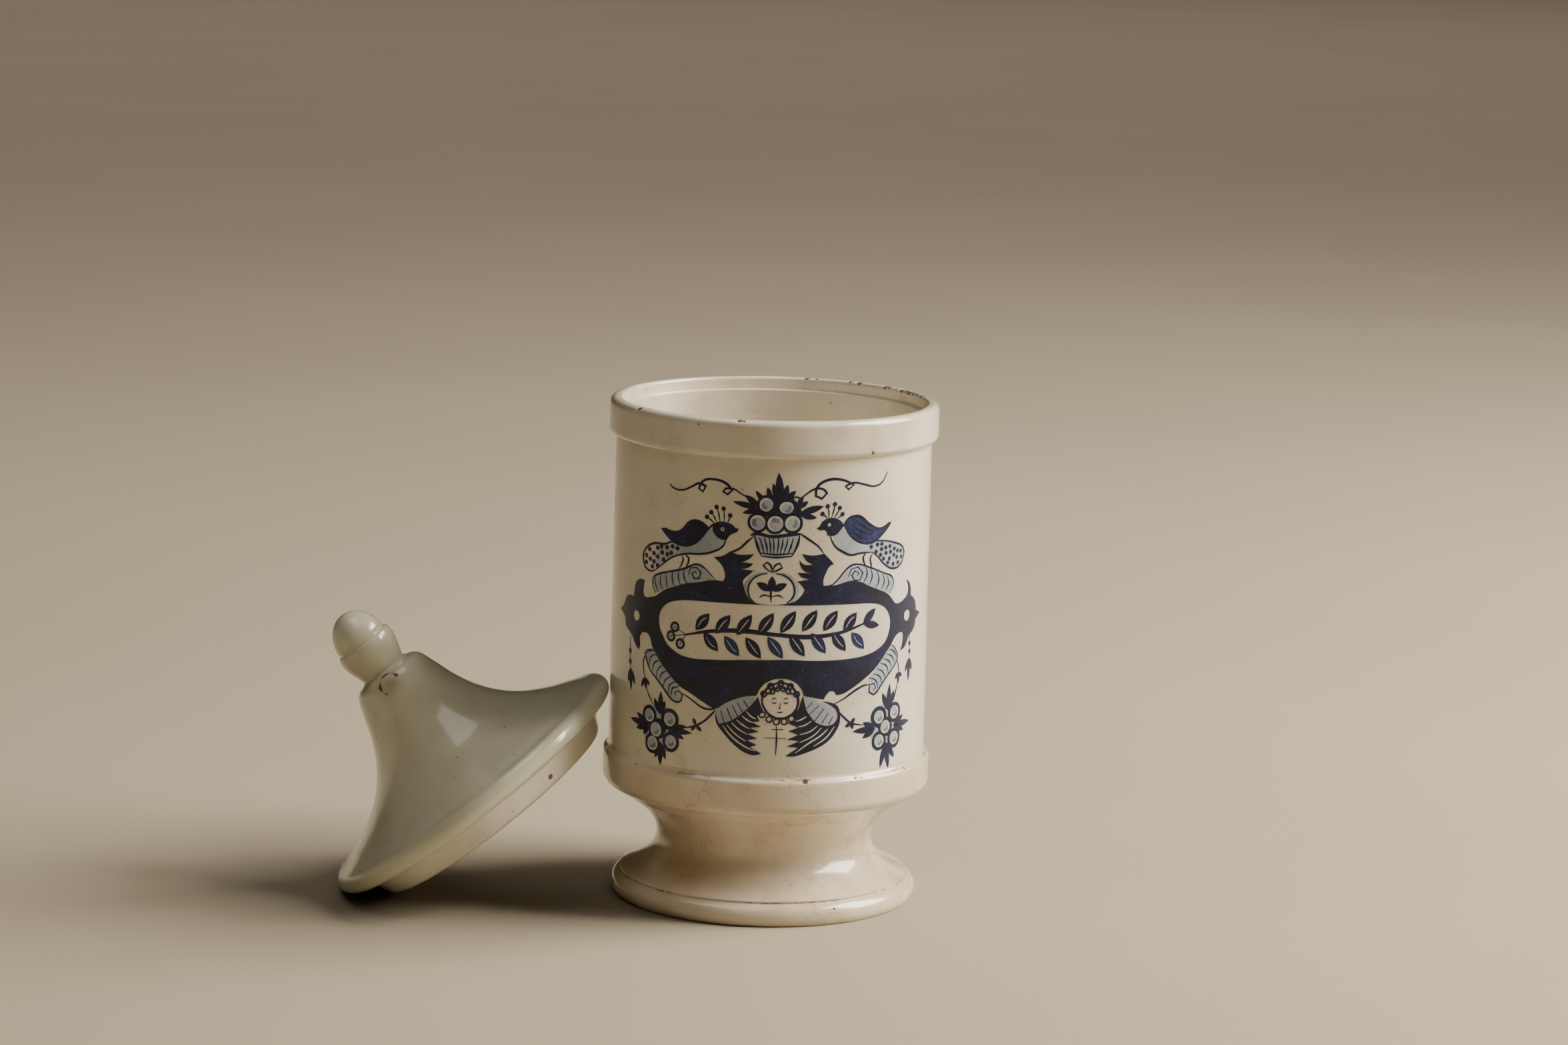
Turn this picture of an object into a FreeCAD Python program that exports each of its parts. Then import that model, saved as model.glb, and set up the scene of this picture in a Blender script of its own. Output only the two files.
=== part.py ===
"""Apothecary jar of glazed earthenware, with its lid leaning against its left side.

Millimetres. The origin is the centre of the foot on the table, +Z runs up the jar, and the
lid stands at -X. Every part is a solid of revolution, turned from an outline of (radius,
height) points. The lid's outlines are drawn upright, with height 0 at its widest plane, and
lean_lid() then tips the finished solids against the drum.
"""
import FreeCAD, Part
import math
import os

V = FreeCAD.Vector

# --- jar: driving dimensions ---------------------------------------------------------
JAR_HEIGHT = 193.4
RIM_RADIUS = 63.0           # outside of the thick band round the mouth
RIM_BOTTOM = 178.9          # where the band steps in to the drum
MOUTH_RADIUS = 58.3         # clear opening inside the lip
MOUTH_DEPTH = 4.6           # from the crest down to the inner ledge
EDGE_ROUNDING = 2.6         # outer corner of the band's crest
LIP_ROUNDING = 1.2          # inner corner of the band's crest
DRUM_TOP_RADIUS = 60.45
DRUM_FOOT_RADIUS = 61.1
BORE_RADIUS = 56.2          # inside wall of the drum
COLLAR_RADIUS = 63.15
COLLAR_TOP = 59.5           # seam between collar and drum
COLLAR_EDGE = 43.3          # lower edge of the collar band
FLOOR_BOTTOM = 38.0         # seam between pedestal and collar
FLOOR_TOP = 45.0
FLOOR_CORNER = 5.0          # rounding between the floor and the wall
WAIST_RADIUS = 41.7
WAIST_HEIGHT = 23.5
PEDESTAL_TOP_RADIUS = 52.4
FLARE_RADIUS = 55.6         # where the pedestal's flare meets the foot ring
FOOT_RING_TOP = 8.5
FOOT_RADIUS = 59.1
FOOT_FACE_RADIUS = 57.6     # outer edge of the flat face that stands on the table
FOOT_HOLLOW_RADIUS = 50.0
PEDESTAL_WALL = 6.0

# --- lid: driving dimensions, heights along its own axis -----------------------------
BEAD_CENTRE = 60.9          # radius of the centre line of the rounded lid edge
BEAD_RADIUS = 4.1
BEAD_HEIGHT = 0.9
FLANGE_RADIUS = 55.4        # locating ring that drops inside the mouth
FLANGE_END_RADIUS = 51.6
FLANGE_DEPTH = 13.0
FLANGE_HOLLOW_RADIUS = 47.0
LID_SEAM_OUT = (43.7, 12.6)  # seam between the brim and the bell, outside
LID_SEAM_IN = (41.0, 7.7)    # and inside
SHOULDER_RADIUS = 14.2
SHOULDER_HEIGHT = 54.2
NECK_RADIUS = 9.2
NECK_HEIGHT = 57.2
CUP_RADIUS = 11.9
CUP_TOP = 70.4
CAP_RADIUS = 10.5
LID_TOP = 83.2

# --- how the lid leans --------------------------------------------------------------
LEAN = math.radians(38.7)   # its axis tips this far from vertical, towards -X
LID_FORWARD = 11.5          # it stands this far in front of the jar's axis
CONTACT_GAP = 0.3           # left between the lid's edge and the drum


def point(radius, height):
    return V(radius, 0, height)


def line(start, end):
    return Part.LineSegment(point(*start), point(*end)).toShape()


def arc(start, middle, end):
    return Part.Arc(point(*start), point(*middle), point(*end)).toShape()


def curve(*points):
    """A smooth curve through the given (radius, height) points."""
    spline = Part.BSplineCurve()
    spline.interpolate([point(*p) for p in points])
    return spline.toShape()


def turned(*edges):
    """Close the outline with the given edges and turn it a full circle about Z."""
    face = Part.Face(Part.Wire(list(edges)))
    solid = face.revolve(V(0, 0, 0), V(0, 0, 1), 360)
    if solid.Volume < 0:
        solid.reverse()
    return solid


def foot_ring():
    """Rounded disc under the pedestal, open in the middle."""
    face_out = (FOOT_FACE_RADIUS, 0)
    face_in = (FOOT_HOLLOW_RADIUS, 0)
    widest = (FOOT_RADIUS, 3.2)
    top_out = (FLARE_RADIUS - 0.2, FOOT_RING_TOP)
    top_in = (FOOT_HOLLOW_RADIUS - 3.5, FOOT_RING_TOP)
    return turned(
        line(face_in, face_out),
        arc(face_out, (FOOT_RADIUS - 0.45, 1.3), widest),
        arc(widest, (FOOT_RADIUS - 0.9, 6.4), top_out),
        line(top_out, top_in),
        line(top_in, face_in))


def pedestal_flare():
    """Lower half of the hollow pedestal, spreading from the waist down to the foot ring."""
    low_out = (FLARE_RADIUS - 0.2, FOOT_RING_TOP)
    lip = (FLARE_RADIUS - 0.1, FOOT_RING_TOP + 0.7)
    waist_out = (WAIST_RADIUS, WAIST_HEIGHT)
    waist_in = (WAIST_RADIUS - PEDESTAL_WALL, WAIST_HEIGHT)
    low_in = (FOOT_HOLLOW_RADIUS - 3.5, FOOT_RING_TOP)
    return turned(
        line(low_out, lip),
        curve(lip, (51.7, 11.2), (47.4, 13.7), (44.2, 16.6), (42.3, 19.9), waist_out),
        line(waist_out, waist_in),
        curve(waist_in, (36.2, 19.5), (38.6, 15.0), low_in),
        line(low_in, low_out))


def pedestal_neck():
    """Upper half of the hollow pedestal, spreading from the waist up to the collar."""
    waist_out = (WAIST_RADIUS, WAIST_HEIGHT)
    waist_in = (WAIST_RADIUS - PEDESTAL_WALL, WAIST_HEIGHT)
    top_out = (PEDESTAL_TOP_RADIUS, FLOOR_BOTTOM)
    top_in = (WAIST_RADIUS - PEDESTAL_WALL + 1.5, FLOOR_BOTTOM)
    return turned(
        curve(waist_out, (42.3, 27.2), (44.4, 31.0), (48.0, 34.7), top_out),
        line(top_out, top_in),
        curve(top_in, (WAIST_RADIUS - PEDESTAL_WALL + 0.2, 30.0), waist_in),
        line(waist_in, waist_out))


def base_collar():
    """Thick band that carries the drum, with the jar's floor across it."""
    axis_low = (0, FLOOR_BOTTOM)
    axis_top = (0, FLOOR_TOP)
    low_out = (PEDESTAL_TOP_RADIUS, FLOOR_BOTTOM)
    edge_in = (COLLAR_RADIUS - 3.5, COLLAR_EDGE - 0.3)
    edge_out = (COLLAR_RADIUS, COLLAR_EDGE + 4.0)
    lip_low = (COLLAR_RADIUS, 55.6)
    lip_top = (COLLAR_RADIUS - 1.0, 57.4)
    top_out = (DRUM_FOOT_RADIUS, COLLAR_TOP)
    top_in = (BORE_RADIUS, COLLAR_TOP)
    wall_low = (BORE_RADIUS, FLOOR_TOP + FLOOR_CORNER)
    corner = FLOOR_CORNER * (1 - math.sqrt(0.5))
    corner_mid = (BORE_RADIUS - corner, FLOOR_TOP + corner)
    floor_out = (BORE_RADIUS - FLOOR_CORNER, FLOOR_TOP)
    return turned(
        line(axis_top, axis_low),
        line(axis_low, low_out),
        curve(low_out, (56.2, 40.7), edge_in),
        arc(edge_in, (COLLAR_RADIUS - 0.8, COLLAR_EDGE + 1.5), edge_out),
        line(edge_out, lip_low),
        arc(lip_low, (COLLAR_RADIUS - 0.3, 56.7), lip_top),
        arc(lip_top, (DRUM_FOOT_RADIUS + 0.35, 58.2), top_out),
        line(top_out, top_in),
        line(top_in, wall_low),
        arc(wall_low, corner_mid, floor_out),
        line(floor_out, axis_top))


def drum():
    """Cylindrical body, a little wider at its foot than at its top."""
    corners = [(BORE_RADIUS, COLLAR_TOP), (DRUM_FOOT_RADIUS, COLLAR_TOP),
               (DRUM_TOP_RADIUS, RIM_BOTTOM), (BORE_RADIUS, RIM_BOTTOM)]
    return turned(*[line(a, b) for a, b in zip(corners, corners[1:] + corners[:1])])


def rim_band():
    """Thick band round the mouth, with a rounded crest and an inner ledge for the lid."""
    crest_out = (RIM_RADIUS - EDGE_ROUNDING, JAR_HEIGHT)
    crest_in = (MOUTH_RADIUS + LIP_ROUNDING, JAR_HEIGHT)
    shoulder = (RIM_RADIUS, JAR_HEIGHT - EDGE_ROUNDING)
    edge = EDGE_ROUNDING * (1 - math.sqrt(0.5))
    inner = LIP_ROUNDING * (1 - math.sqrt(0.5))
    low_edge = (RIM_RADIUS, RIM_BOTTOM + 2.4)
    low_in = (DRUM_TOP_RADIUS + 0.5, RIM_BOTTOM)
    lip = (MOUTH_RADIUS, JAR_HEIGHT - LIP_ROUNDING)
    ledge_out = (MOUTH_RADIUS, JAR_HEIGHT - MOUTH_DEPTH)
    ledge_in = (BORE_RADIUS, JAR_HEIGHT - MOUTH_DEPTH - 0.4)
    wall_low = (BORE_RADIUS, RIM_BOTTOM)
    return turned(
        line(crest_in, crest_out),
        arc(crest_out, (RIM_RADIUS - edge, JAR_HEIGHT - edge), shoulder),
        line(shoulder, low_edge),
        arc(low_edge, (RIM_RADIUS - 0.65, RIM_BOTTOM + 0.7), low_in),
        line(low_in, wall_low),
        line(wall_low, ledge_in),
        line(ledge_in, ledge_out),
        line(ledge_out, lip),
        arc(lip, (MOUTH_RADIUS + inner, JAR_HEIGHT - inner), crest_in))


def lid_brim():
    """Wide lower part of the lid, with a rounded, upturned edge."""
    under = BEAD_HEIGHT - BEAD_RADIUS
    under_out = (BEAD_CENTRE, under)
    under_in = (FLANGE_HOLLOW_RADIUS + 3.0, under)
    turn = math.radians(82)
    bead_top = (BEAD_CENTRE + BEAD_RADIUS * math.cos(turn),
                BEAD_HEIGHT + BEAD_RADIUS * math.sin(turn))
    bead_side = (BEAD_CENTRE + BEAD_RADIUS, BEAD_HEIGHT)
    return turned(
        line(under_in, under_out),
        arc(under_out, bead_side, bead_top),
        curve(bead_top, (56.4, 6.9), (48.6, 10.1), LID_SEAM_OUT),
        line(LID_SEAM_OUT, LID_SEAM_IN),
        curve(LID_SEAM_IN, (45.0, 5.0), (48.8, 1.2), under_in))


def lid_bell():
    """Hollow bell that rises from the brim to the shoulder under the knob."""
    shoulder = (SHOULDER_RADIUS, SHOULDER_HEIGHT)
    neck = (NECK_RADIUS, NECK_HEIGHT)
    crown = (0, 48.0)
    return turned(
        curve(LID_SEAM_OUT, (37.7, 16.2), (32.8, 20.2), (28.0, 25.1), (24.5, 30.2),
              (21.8, 35.2), (19.6, 40.2), (17.9, 45.2), (16.5, 49.2), (15.5, 52.0), shoulder),
        curve(shoulder, (12.4, 55.5), (10.4, 56.2), neck),
        line(neck, (0, NECK_HEIGHT)),
        line((0, NECK_HEIGHT), crown),
        curve(crown, (6.5, 47.0), (11.6, 43.2), (15.4, 37.4), (18.2, 31.6), (21.8, 25.2),
              (26.3, 19.4), (32.0, 14.0), LID_SEAM_IN),
        line(LID_SEAM_IN, LID_SEAM_OUT))


def lid_flange():
    """Ring under the lid that drops inside the mouth and keeps the lid in place."""
    top = BEAD_HEIGHT - BEAD_RADIUS
    top_in = (FLANGE_HOLLOW_RADIUS + 3.0, top)
    top_out = (FLANGE_RADIUS + 0.4, top)
    wall_top = (FLANGE_RADIUS, top - 1.0)
    wall_low = (FLANGE_END_RADIUS + 0.3, 2.2 - FLANGE_DEPTH)
    end_out = (FLANGE_END_RADIUS - 3.0, -FLANGE_DEPTH)
    end_in = (FLANGE_HOLLOW_RADIUS + 0.7, -FLANGE_DEPTH)
    return turned(
        line(top_in, top_out),
        line(top_out, wall_top),
        line(wall_top, wall_low),
        arc(wall_low, (FLANGE_END_RADIUS - 0.8, 0.8 - FLANGE_DEPTH), end_out),
        line(end_out, end_in),
        curve(end_in, (FLANGE_HOLLOW_RADIUS, 1.6 - FLANGE_DEPTH),
              (FLANGE_HOLLOW_RADIUS + 1.2, -6.5), top_in))


def finial_cup():
    """Lower half of the acorn knob, widening from the neck to the step."""
    neck = (NECK_RADIUS, NECK_HEIGHT)
    rim = (CUP_RADIUS - 0.4, CUP_TOP - 0.9)
    top = (CAP_RADIUS - 0.3, CUP_TOP)
    return turned(
        line((0, NECK_HEIGHT), neck),
        curve(neck, (9.75, 59.0), (10.6, 61.2), (11.35, 63.8), (CUP_RADIUS, 67.0), rim),
        arc(rim, (CUP_RADIUS - 0.75, CUP_TOP - 0.3), top),
        line(top, (0, CUP_TOP)),
        line((0, CUP_TOP), (0, NECK_HEIGHT)))


def finial_cap():
    """Upper half of the acorn knob, a dome slightly taller than a half ball."""
    low = (CAP_RADIUS - 0.3, CUP_TOP)
    height = LID_TOP - CUP_TOP
    dome = [(CAP_RADIUS * math.cos(a), CUP_TOP + height * math.sin(a))
            for a in (math.radians(12 + 13 * i) for i in range(7))]
    return turned(
        line((0, CUP_TOP), low),
        curve(low, *dome),
        line(dome[-1], (0, CUP_TOP)))


def lean_lid(shapes, against):
    """Tip the lid's solids towards -X, stand them on the table and rest them on the drum."""
    bead_low = BEAD_RADIUS + BEAD_CENTRE * math.sin(LEAN) - BEAD_HEIGHT * math.cos(LEAN)
    clear_of_jar = -(RIM_RADIUS + 2 * BEAD_CENTRE)
    tip = FreeCAD.Rotation(V(0, 1, 0), -math.degrees(LEAN))
    for shape in shapes:
        shape.Placement = FreeCAD.Placement(V(clear_of_jar, -LID_FORWARD, bead_low), tip)
    edge = shapes[0]
    for _ in range(6):
        step = edge.distToShape(against)[0] - CONTACT_GAP
        for shape in shapes:
            shape.translate(V(step, 0, 0))
    return edge.Placement.Base


def main():
    os.makedirs("parts", exist_ok=True)
    jar = {"foot_ring": foot_ring(), "pedestal_flare": pedestal_flare(),
           "pedestal_neck": pedestal_neck(), "base_collar": base_collar(),
           "drum": drum(), "rim_band": rim_band()}
    lid = {"lid_brim": lid_brim(), "lid_bell": lid_bell(), "lid_flange": lid_flange(),
           "finial_cup": finial_cup(), "finial_cap": finial_cap()}
    base = lean_lid(list(lid.values()), jar["drum"])
    print("lid datum", [round(v, 3) for v in base],
          "axis", round(-math.sin(LEAN), 4), round(math.cos(LEAN), 4))
    for name, shape in {**jar, **lid}.items():
        box = shape.optimalBoundingBox()
        print(name, shape.ShapeType, "valid" if shape.isValid() else "NOT VALID",
              "volume", round(shape.Volume / 1000, 2), "cm3, z", round(box.ZMin, 3),
              "to", round(box.ZMax, 3), "x", round(box.XMin, 2), "to", round(box.XMax, 2))
        shape.exportStep("parts/" + name + ".step")


main()
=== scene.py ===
import math

import bmesh
import bpy
import numpy as np
from mathutils import Matrix, Vector, noise


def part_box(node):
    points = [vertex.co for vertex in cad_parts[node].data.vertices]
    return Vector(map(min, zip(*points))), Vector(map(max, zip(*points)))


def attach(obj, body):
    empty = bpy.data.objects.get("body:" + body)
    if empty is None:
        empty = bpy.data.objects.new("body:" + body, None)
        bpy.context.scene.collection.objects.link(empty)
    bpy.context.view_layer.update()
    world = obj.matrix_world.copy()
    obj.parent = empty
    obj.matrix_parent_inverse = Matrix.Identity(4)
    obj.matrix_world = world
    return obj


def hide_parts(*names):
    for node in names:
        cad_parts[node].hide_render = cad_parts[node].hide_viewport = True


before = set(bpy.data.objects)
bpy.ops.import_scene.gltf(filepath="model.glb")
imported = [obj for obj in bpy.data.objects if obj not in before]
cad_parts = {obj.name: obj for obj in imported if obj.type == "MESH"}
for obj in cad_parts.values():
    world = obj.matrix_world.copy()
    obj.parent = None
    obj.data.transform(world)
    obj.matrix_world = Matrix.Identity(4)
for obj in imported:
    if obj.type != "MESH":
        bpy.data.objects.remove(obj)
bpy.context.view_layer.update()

# %% [markdown]
# # An apothecary jar of glazed earthenware
# A drug jar like this is thrown in sections on a wheel, joined with slip, dipped in a cream
# glaze and painted in cobalt. Here the jar stands open and its lid leans against its side.
# Everything is modelled in millimetres and turned to metres as each piece is finished.

# %% Units and the frame
MM = 0.001
JAR, LID = "jar", "lid"
for node in sorted(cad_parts):
    low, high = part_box(node)
    print(node, "stands from", [round(c / MM, 1) for c in low], "to", [round(c / MM, 1) for c in high])

# %% [markdown]
# ## The camera
# A short telephoto lens looks down on the jar by about ten degrees, and the camera is held very
# slightly out of level. Its turn is built from three directions: forwards, to the right and up.

# %% Camera
LENS_MM = 101.05
CAMERA_PLACE = Vector((0.0, -1.6673, 0.4318))
YAW, PITCH, ROLL = 0.0028, 0.1703, 0.0271
forward = Vector((math.sin(YAW) * math.cos(PITCH), math.cos(YAW) * math.cos(PITCH), -math.sin(PITCH)))
level_right = Vector((math.cos(YAW), -math.sin(YAW), 0.0))
level_up = level_right.cross(forward)
camera_right = level_right * math.cos(ROLL) + level_up * math.sin(ROLL)
camera_up = level_up * math.cos(ROLL) - level_right * math.sin(ROLL)
camera_data = bpy.data.cameras.new("camera")
camera_data.lens = LENS_MM
camera_data.sensor_width = 36.0
camera = bpy.data.objects.new("camera", camera_data)
bpy.context.scene.collection.objects.link(camera)
turn = Matrix((camera_right, camera_up, -forward)).transposed().to_4x4()
camera.matrix_world = Matrix.Translation(CAMERA_PLACE) @ turn
bpy.context.scene.camera = camera
print("camera", [round(c, 3) for c in camera.location], "lens", LENS_MM)

# %% [markdown]
# ## Outlines
# A turned pot is one outline swept round its axis. Each outline is made of straight lines, arcs
# through three points and smooth curves, as a potter's template would be. The smooth curve is a
# natural cubic spline: it keeps its bending even, so reflections run over it without a kink.

# %% Lines, arcs and smooth curves
FINE = 0.8          # mm between points along a curved outline


def line(start, end, spacing=FINE):
    """Points from start up to, and not including, end."""
    steps = max(1, round(math.dist(start, end) / spacing))
    return [tuple(Vector(start).lerp(Vector(end), k / steps)) for k in range(steps)]


def arc(start, middle, end, spacing=FINE / 2):
    """Points on the circle through three points, from start up to, and not including, end."""
    (ax, ay), (bx, by), (cx, cy) = start, middle, end
    double_area = 2 * (ax * (by - cy) + bx * (cy - ay) + cx * (ay - by))
    a, b, c = ax * ax + ay * ay, bx * bx + by * by, cx * cx + cy * cy
    centre_x = (a * (by - cy) + b * (cy - ay) + c * (ay - by)) / double_area
    centre_y = (a * (cx - bx) + b * (ax - cx) + c * (bx - ax)) / double_area
    radius = math.dist(start, (centre_x, centre_y))
    first = math.atan2(ay - centre_y, ax - centre_x)
    sweep = (math.atan2(cy - centre_y, cx - centre_x) - first) % math.tau
    through = (math.atan2(by - centre_y, bx - centre_x) - first) % math.tau
    if through > sweep:
        sweep -= math.tau
    steps = max(2, round(abs(sweep) * radius / spacing))
    angles = [first + sweep * k / steps for k in range(steps)]
    return [(centre_x + radius * math.cos(t), centre_y + radius * math.sin(t)) for t in angles]


def curve(*points, spacing=FINE):
    """Points on a natural cubic spline through the given ones, the last one left out."""
    p = np.array(points, float)
    along = np.concatenate([[0.0], np.cumsum(np.linalg.norm(np.diff(p, axis=0), axis=1))])
    gap = np.diff(along)
    system = np.eye(len(p))
    right = np.zeros_like(p)
    for i in range(1, len(p) - 1):
        system[i, i - 1:i + 2] = gap[i - 1], 2 * (gap[i - 1] + gap[i]), gap[i]
        right[i] = 6 * ((p[i + 1] - p[i]) / gap[i] - (p[i] - p[i - 1]) / gap[i - 1])
    bend = np.linalg.solve(system, right)
    steps = max(2, round(along[-1] / spacing))
    out = []
    for s in along[-1] * np.arange(steps) / steps:
        i = min(int(np.searchsorted(along, s, side="right")) - 1, len(gap) - 1)
        g, before, after = gap[i], along[i + 1] - s, s - along[i]
        out.append(tuple((bend[i] * before ** 3 + bend[i + 1] * after ** 3) / (6 * g)
                         + (p[i] / g - bend[i] * g / 6) * before
                         + (p[i + 1] / g - bend[i + 1] * g / 6) * after))
    return out


# %% [markdown]
# ## The unevenness of the hand
# No thrown pot is quite round. A slow noise of about 0.15 mm, the same for every section of a
# body, keeps seams together and makes the reflections swim a little. Chips are small dents at
# the edges: each is a place and a size, pressed into the mesh and later coloured by the glaze.

# %% Slow waver, and chips
WAVER = 0.16        # mm
WAVE_LENGTH = 38.0  # mm


def waver(place):
    """How far, in mm, the surface stands in or out at a place on its body."""
    slow = noise.noise(Vector(place) / WAVE_LENGTH)
    quick = noise.noise(Vector(place) / (WAVE_LENGTH * 0.3) + Vector((7, 3, 1)))
    return WAVER * (slow + 0.25 * quick)


def round_jar(degrees, radius, height, size):
    """A chip on the jar, its angle counted from the painted front towards +X."""
    a = math.radians(degrees)
    return Vector((radius * math.sin(a), -radius * math.cos(a), height)), size


RIM_CHIPS = [round_jar(-12, 61.5, 193.2, 1.1), round_jar(-10.5, 61.7, 193.1, 0.7),
             round_jar(-55, 61.6, 193.1, 1.2), round_jar(-51, 60.0, 193.4, 0.8),
             round_jar(36, 62.6, 181.0, 0.8)]
# The back edge on the right is worn in a row of small chips, of uneven size and spacing.
BACK_CHIPS = [round_jar(degrees, 59.3, 193.15, size) for degrees, size in
              ((107, 1.4), (111, 1.1), (114.5, 1.6), (117.5, 1.7), (120, 1.3), (123, 1.6), (127, 0.9),
               (131, 1.1), (133, 1.4), (146, 1.3), (150, 0.9), (164, 0.9), (168, 1.3))]
COLLAR_CHIPS = [round_jar(14, 62.5, 57.6, 1.3), round_jar(33, 62.4, 57.7, 1.0),
                round_jar(35.5, 62.6, 57.4, 0.8), round_jar(-52, 62.6, 57.5, 0.8),
                round_jar(-20, 62.4, 57.7, 0.6), round_jar(58, 62.5, 57.6, 0.9)]
FOOT_CHIPS = [round_jar(-79, 58.9, 4.2, 1.1), round_jar(28, 58.3, 6.1, 0.6)]


def press_chips(bm, chips, pull):
    """Dent the mesh at each chip, along the direction that pull gives for a place."""
    for vert in bm.verts:
        for place, size in chips:
            near = (vert.co - place).length / (size * 1.4)
            if near < 1:
                vert.co += pull(place) * size * 0.3 * (1 - near * near) ** 2


# %% [markdown]
# ## Turning a section
# `bmesh.ops.spin` is Blender's potter's wheel. A full turn in one go is slow on a fine outline, so
# the edges are swept through a twelfth of a turn, and that slice is then spun round as copies.
# Merging the doubles closes the seams, and turns the points on the axis into poles.

# %% Turn an outline
TURN_STEPS = 288
SLICES = 12
SHARP = math.radians(38)


def finish_mesh(bm, name, body):
    """Make the bmesh an object in metres that rides on its body."""
    bmesh.ops.scale(bm, vec=(MM, MM, MM), verts=bm.verts)
    mesh = bpy.data.meshes.new(name)
    bm.to_mesh(mesh)
    bm.free()
    mesh.shade_smooth()
    mesh.set_sharp_from_angle(angle=SHARP)
    piece = bpy.data.objects.new(name, mesh)
    bpy.context.scene.collection.objects.link(piece)
    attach(piece, body)
    print(name, len(mesh.polygons), "faces")
    return piece


def turned(outline, steps=TURN_STEPS):
    """A closed bmesh swept from an outline of (radius, height) points."""
    on_axis = outline[0][0] < 1e-6
    bm = bmesh.new()
    chain = [bm.verts.new((radius, 0, height)) for radius, height in outline]
    links = [bm.edges.new(pair) for pair in zip(chain, chain[1:])]
    if not on_axis:
        links.append(bm.edges.new((chain[-1], chain[0])))
    bmesh.ops.spin(bm, geom=chain + links, cent=(0, 0, 0), axis=(0, 0, 1),
                   angle=math.tau / SLICES, steps=steps // SLICES, use_duplicate=False)
    bmesh.ops.spin(bm, geom=bm.verts[:] + bm.edges[:] + bm.faces[:], cent=(0, 0, 0), axis=(0, 0, 1),
                   angle=math.tau * (SLICES - 1) / SLICES, steps=SLICES - 1, use_duplicate=True)
    bmesh.ops.remove_doubles(bm, verts=bm.verts, dist=1e-4)
    bmesh.ops.recalc_face_normals(bm, faces=bm.faces)
    return bm


def make_uneven(bm):
    """Give the section the waver of its body, in and out from the axis."""
    for vert in bm.verts:
        across = Vector((vert.co.x, vert.co.y, 0))
        if across.length > 1e-3:
            vert.co += across.normalized() * waver(vert.co) * min(1, across.length / 20)


def inwards(place):
    """Into the jar and a little down: the way a chip leaves an outer edge."""
    return Vector((-place.x, -place.y, -0.35 * place.xy.length)).normalized()


# %% [markdown]
# ## The foot and the pedestal
# The foot ring is a rounded disc with a flat face that stands on the table. The pedestal stands
# on it: a hollow bell that pinches to a waist and spreads again. It is one smooth piece here,
# although the physical model splits it at the waist, so it replaces both halves.

# %% Foot ring
FOOT_TOP = 8.5
foot_outline = (
    line((50.0, 0.0), (57.6, 0.0)) + arc((57.6, 0.0), (58.65, 1.3), (59.1, 3.2))
    + arc((59.1, 3.2), (58.2, 6.4), (55.6, FOOT_TOP - 0.2))
    + arc((55.6, FOOT_TOP - 0.2), (55.42, FOOT_TOP - 0.1), (55.3, FOOT_TOP))
    + line((55.3, FOOT_TOP), (46.5, FOOT_TOP), 2.5) + line((46.5, FOOT_TOP), (50.0, 0.0), 1.5))
bm = turned(foot_outline)
make_uneven(bm)
for vert in bm.verts:
    if vert.co.z < 0.01:
        vert.co.z = 0.0
press_chips(bm, FOOT_CHIPS, inwards)
foot_ring = finish_mesh(bm, "foot_ring_glazed", JAR)
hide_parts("foot_ring")

# %% Pedestal
PEDESTAL_TOP = 38.0
pedestal_outline = (
    arc((55.3, FOOT_TOP), (55.5, FOOT_TOP + 0.25), (55.45, FOOT_TOP + 0.75), 0.3)
    + curve((55.45, FOOT_TOP + 0.75), (54.3, 9.85), (51.7, 11.1), (47.4, 13.7), (44.2, 16.6),
            (42.3, 19.9), (41.7, 23.5), (42.3, 27.2), (44.4, 31.0), (48.0, 34.7),
            (52.4, PEDESTAL_TOP))
    + line((52.4, PEDESTAL_TOP), (37.2, PEDESTAL_TOP), 3.0)
    + curve((37.2, PEDESTAL_TOP), (35.9, 30.0), (35.7, 23.5), (36.2, 19.5), (38.6, 15.0),
            (46.5, FOOT_TOP), spacing=1.2)
    + line((46.5, FOOT_TOP), (55.3, FOOT_TOP), 3.0))
bm = turned(pedestal_outline)
make_uneven(bm)
pedestal = finish_mesh(bm, "pedestal_glazed", JAR)
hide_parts("pedestal_flare", "pedestal_neck")

# %% [markdown]
# ## The collar, the drum and the rim
# The collar is a thick band with the jar's floor across it. It steps in to the drum through a
# soft hollow, because glaze fills every sharp corner. The rim band is the same idea at the top,
# with a rounded crest and a ledge inside for the lid to sit on.

# %% Base collar
BORE = 56.2
COLLAR_TOP = 59.5
FLOOR = 45.0
collar_outline = (
    line((0.0, PEDESTAL_TOP), (52.4, PEDESTAL_TOP), 3.0)
    + curve((52.4, PEDESTAL_TOP), (56.2, 40.7), (59.65, 43.0))
    + arc((59.65, 43.0), (62.35, 44.8), (63.15, 47.3))
    + line((63.15, 47.3), (63.15, 55.6)) + arc((63.15, 55.6), (62.85, 56.7), (62.15, 57.4), 0.3)
    + arc((62.15, 57.4), (61.45, 58.2), (61.1, COLLAR_TOP), 0.3)
    + line((61.1, COLLAR_TOP), (BORE, COLLAR_TOP), 2.0)
    + line((BORE, COLLAR_TOP), (BORE, FLOOR + 5.0), 2.0)
    + arc((BORE, FLOOR + 5.0), (BORE - 1.46, FLOOR + 1.46), (BORE - 5.0, FLOOR))
    + line((BORE - 5.0, FLOOR), (0.0, FLOOR), 3.0) + [(0.0, FLOOR)])
bm = turned(collar_outline)
make_uneven(bm)
press_chips(bm, COLLAR_CHIPS, inwards)
base_collar = finish_mesh(bm, "base_collar_glazed", JAR)
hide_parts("base_collar")

# %% Drum
DRUM_FOOT_RADIUS, DRUM_TOP_RADIUS = 61.1, 60.45
DRUM_TOP = 178.9


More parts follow.
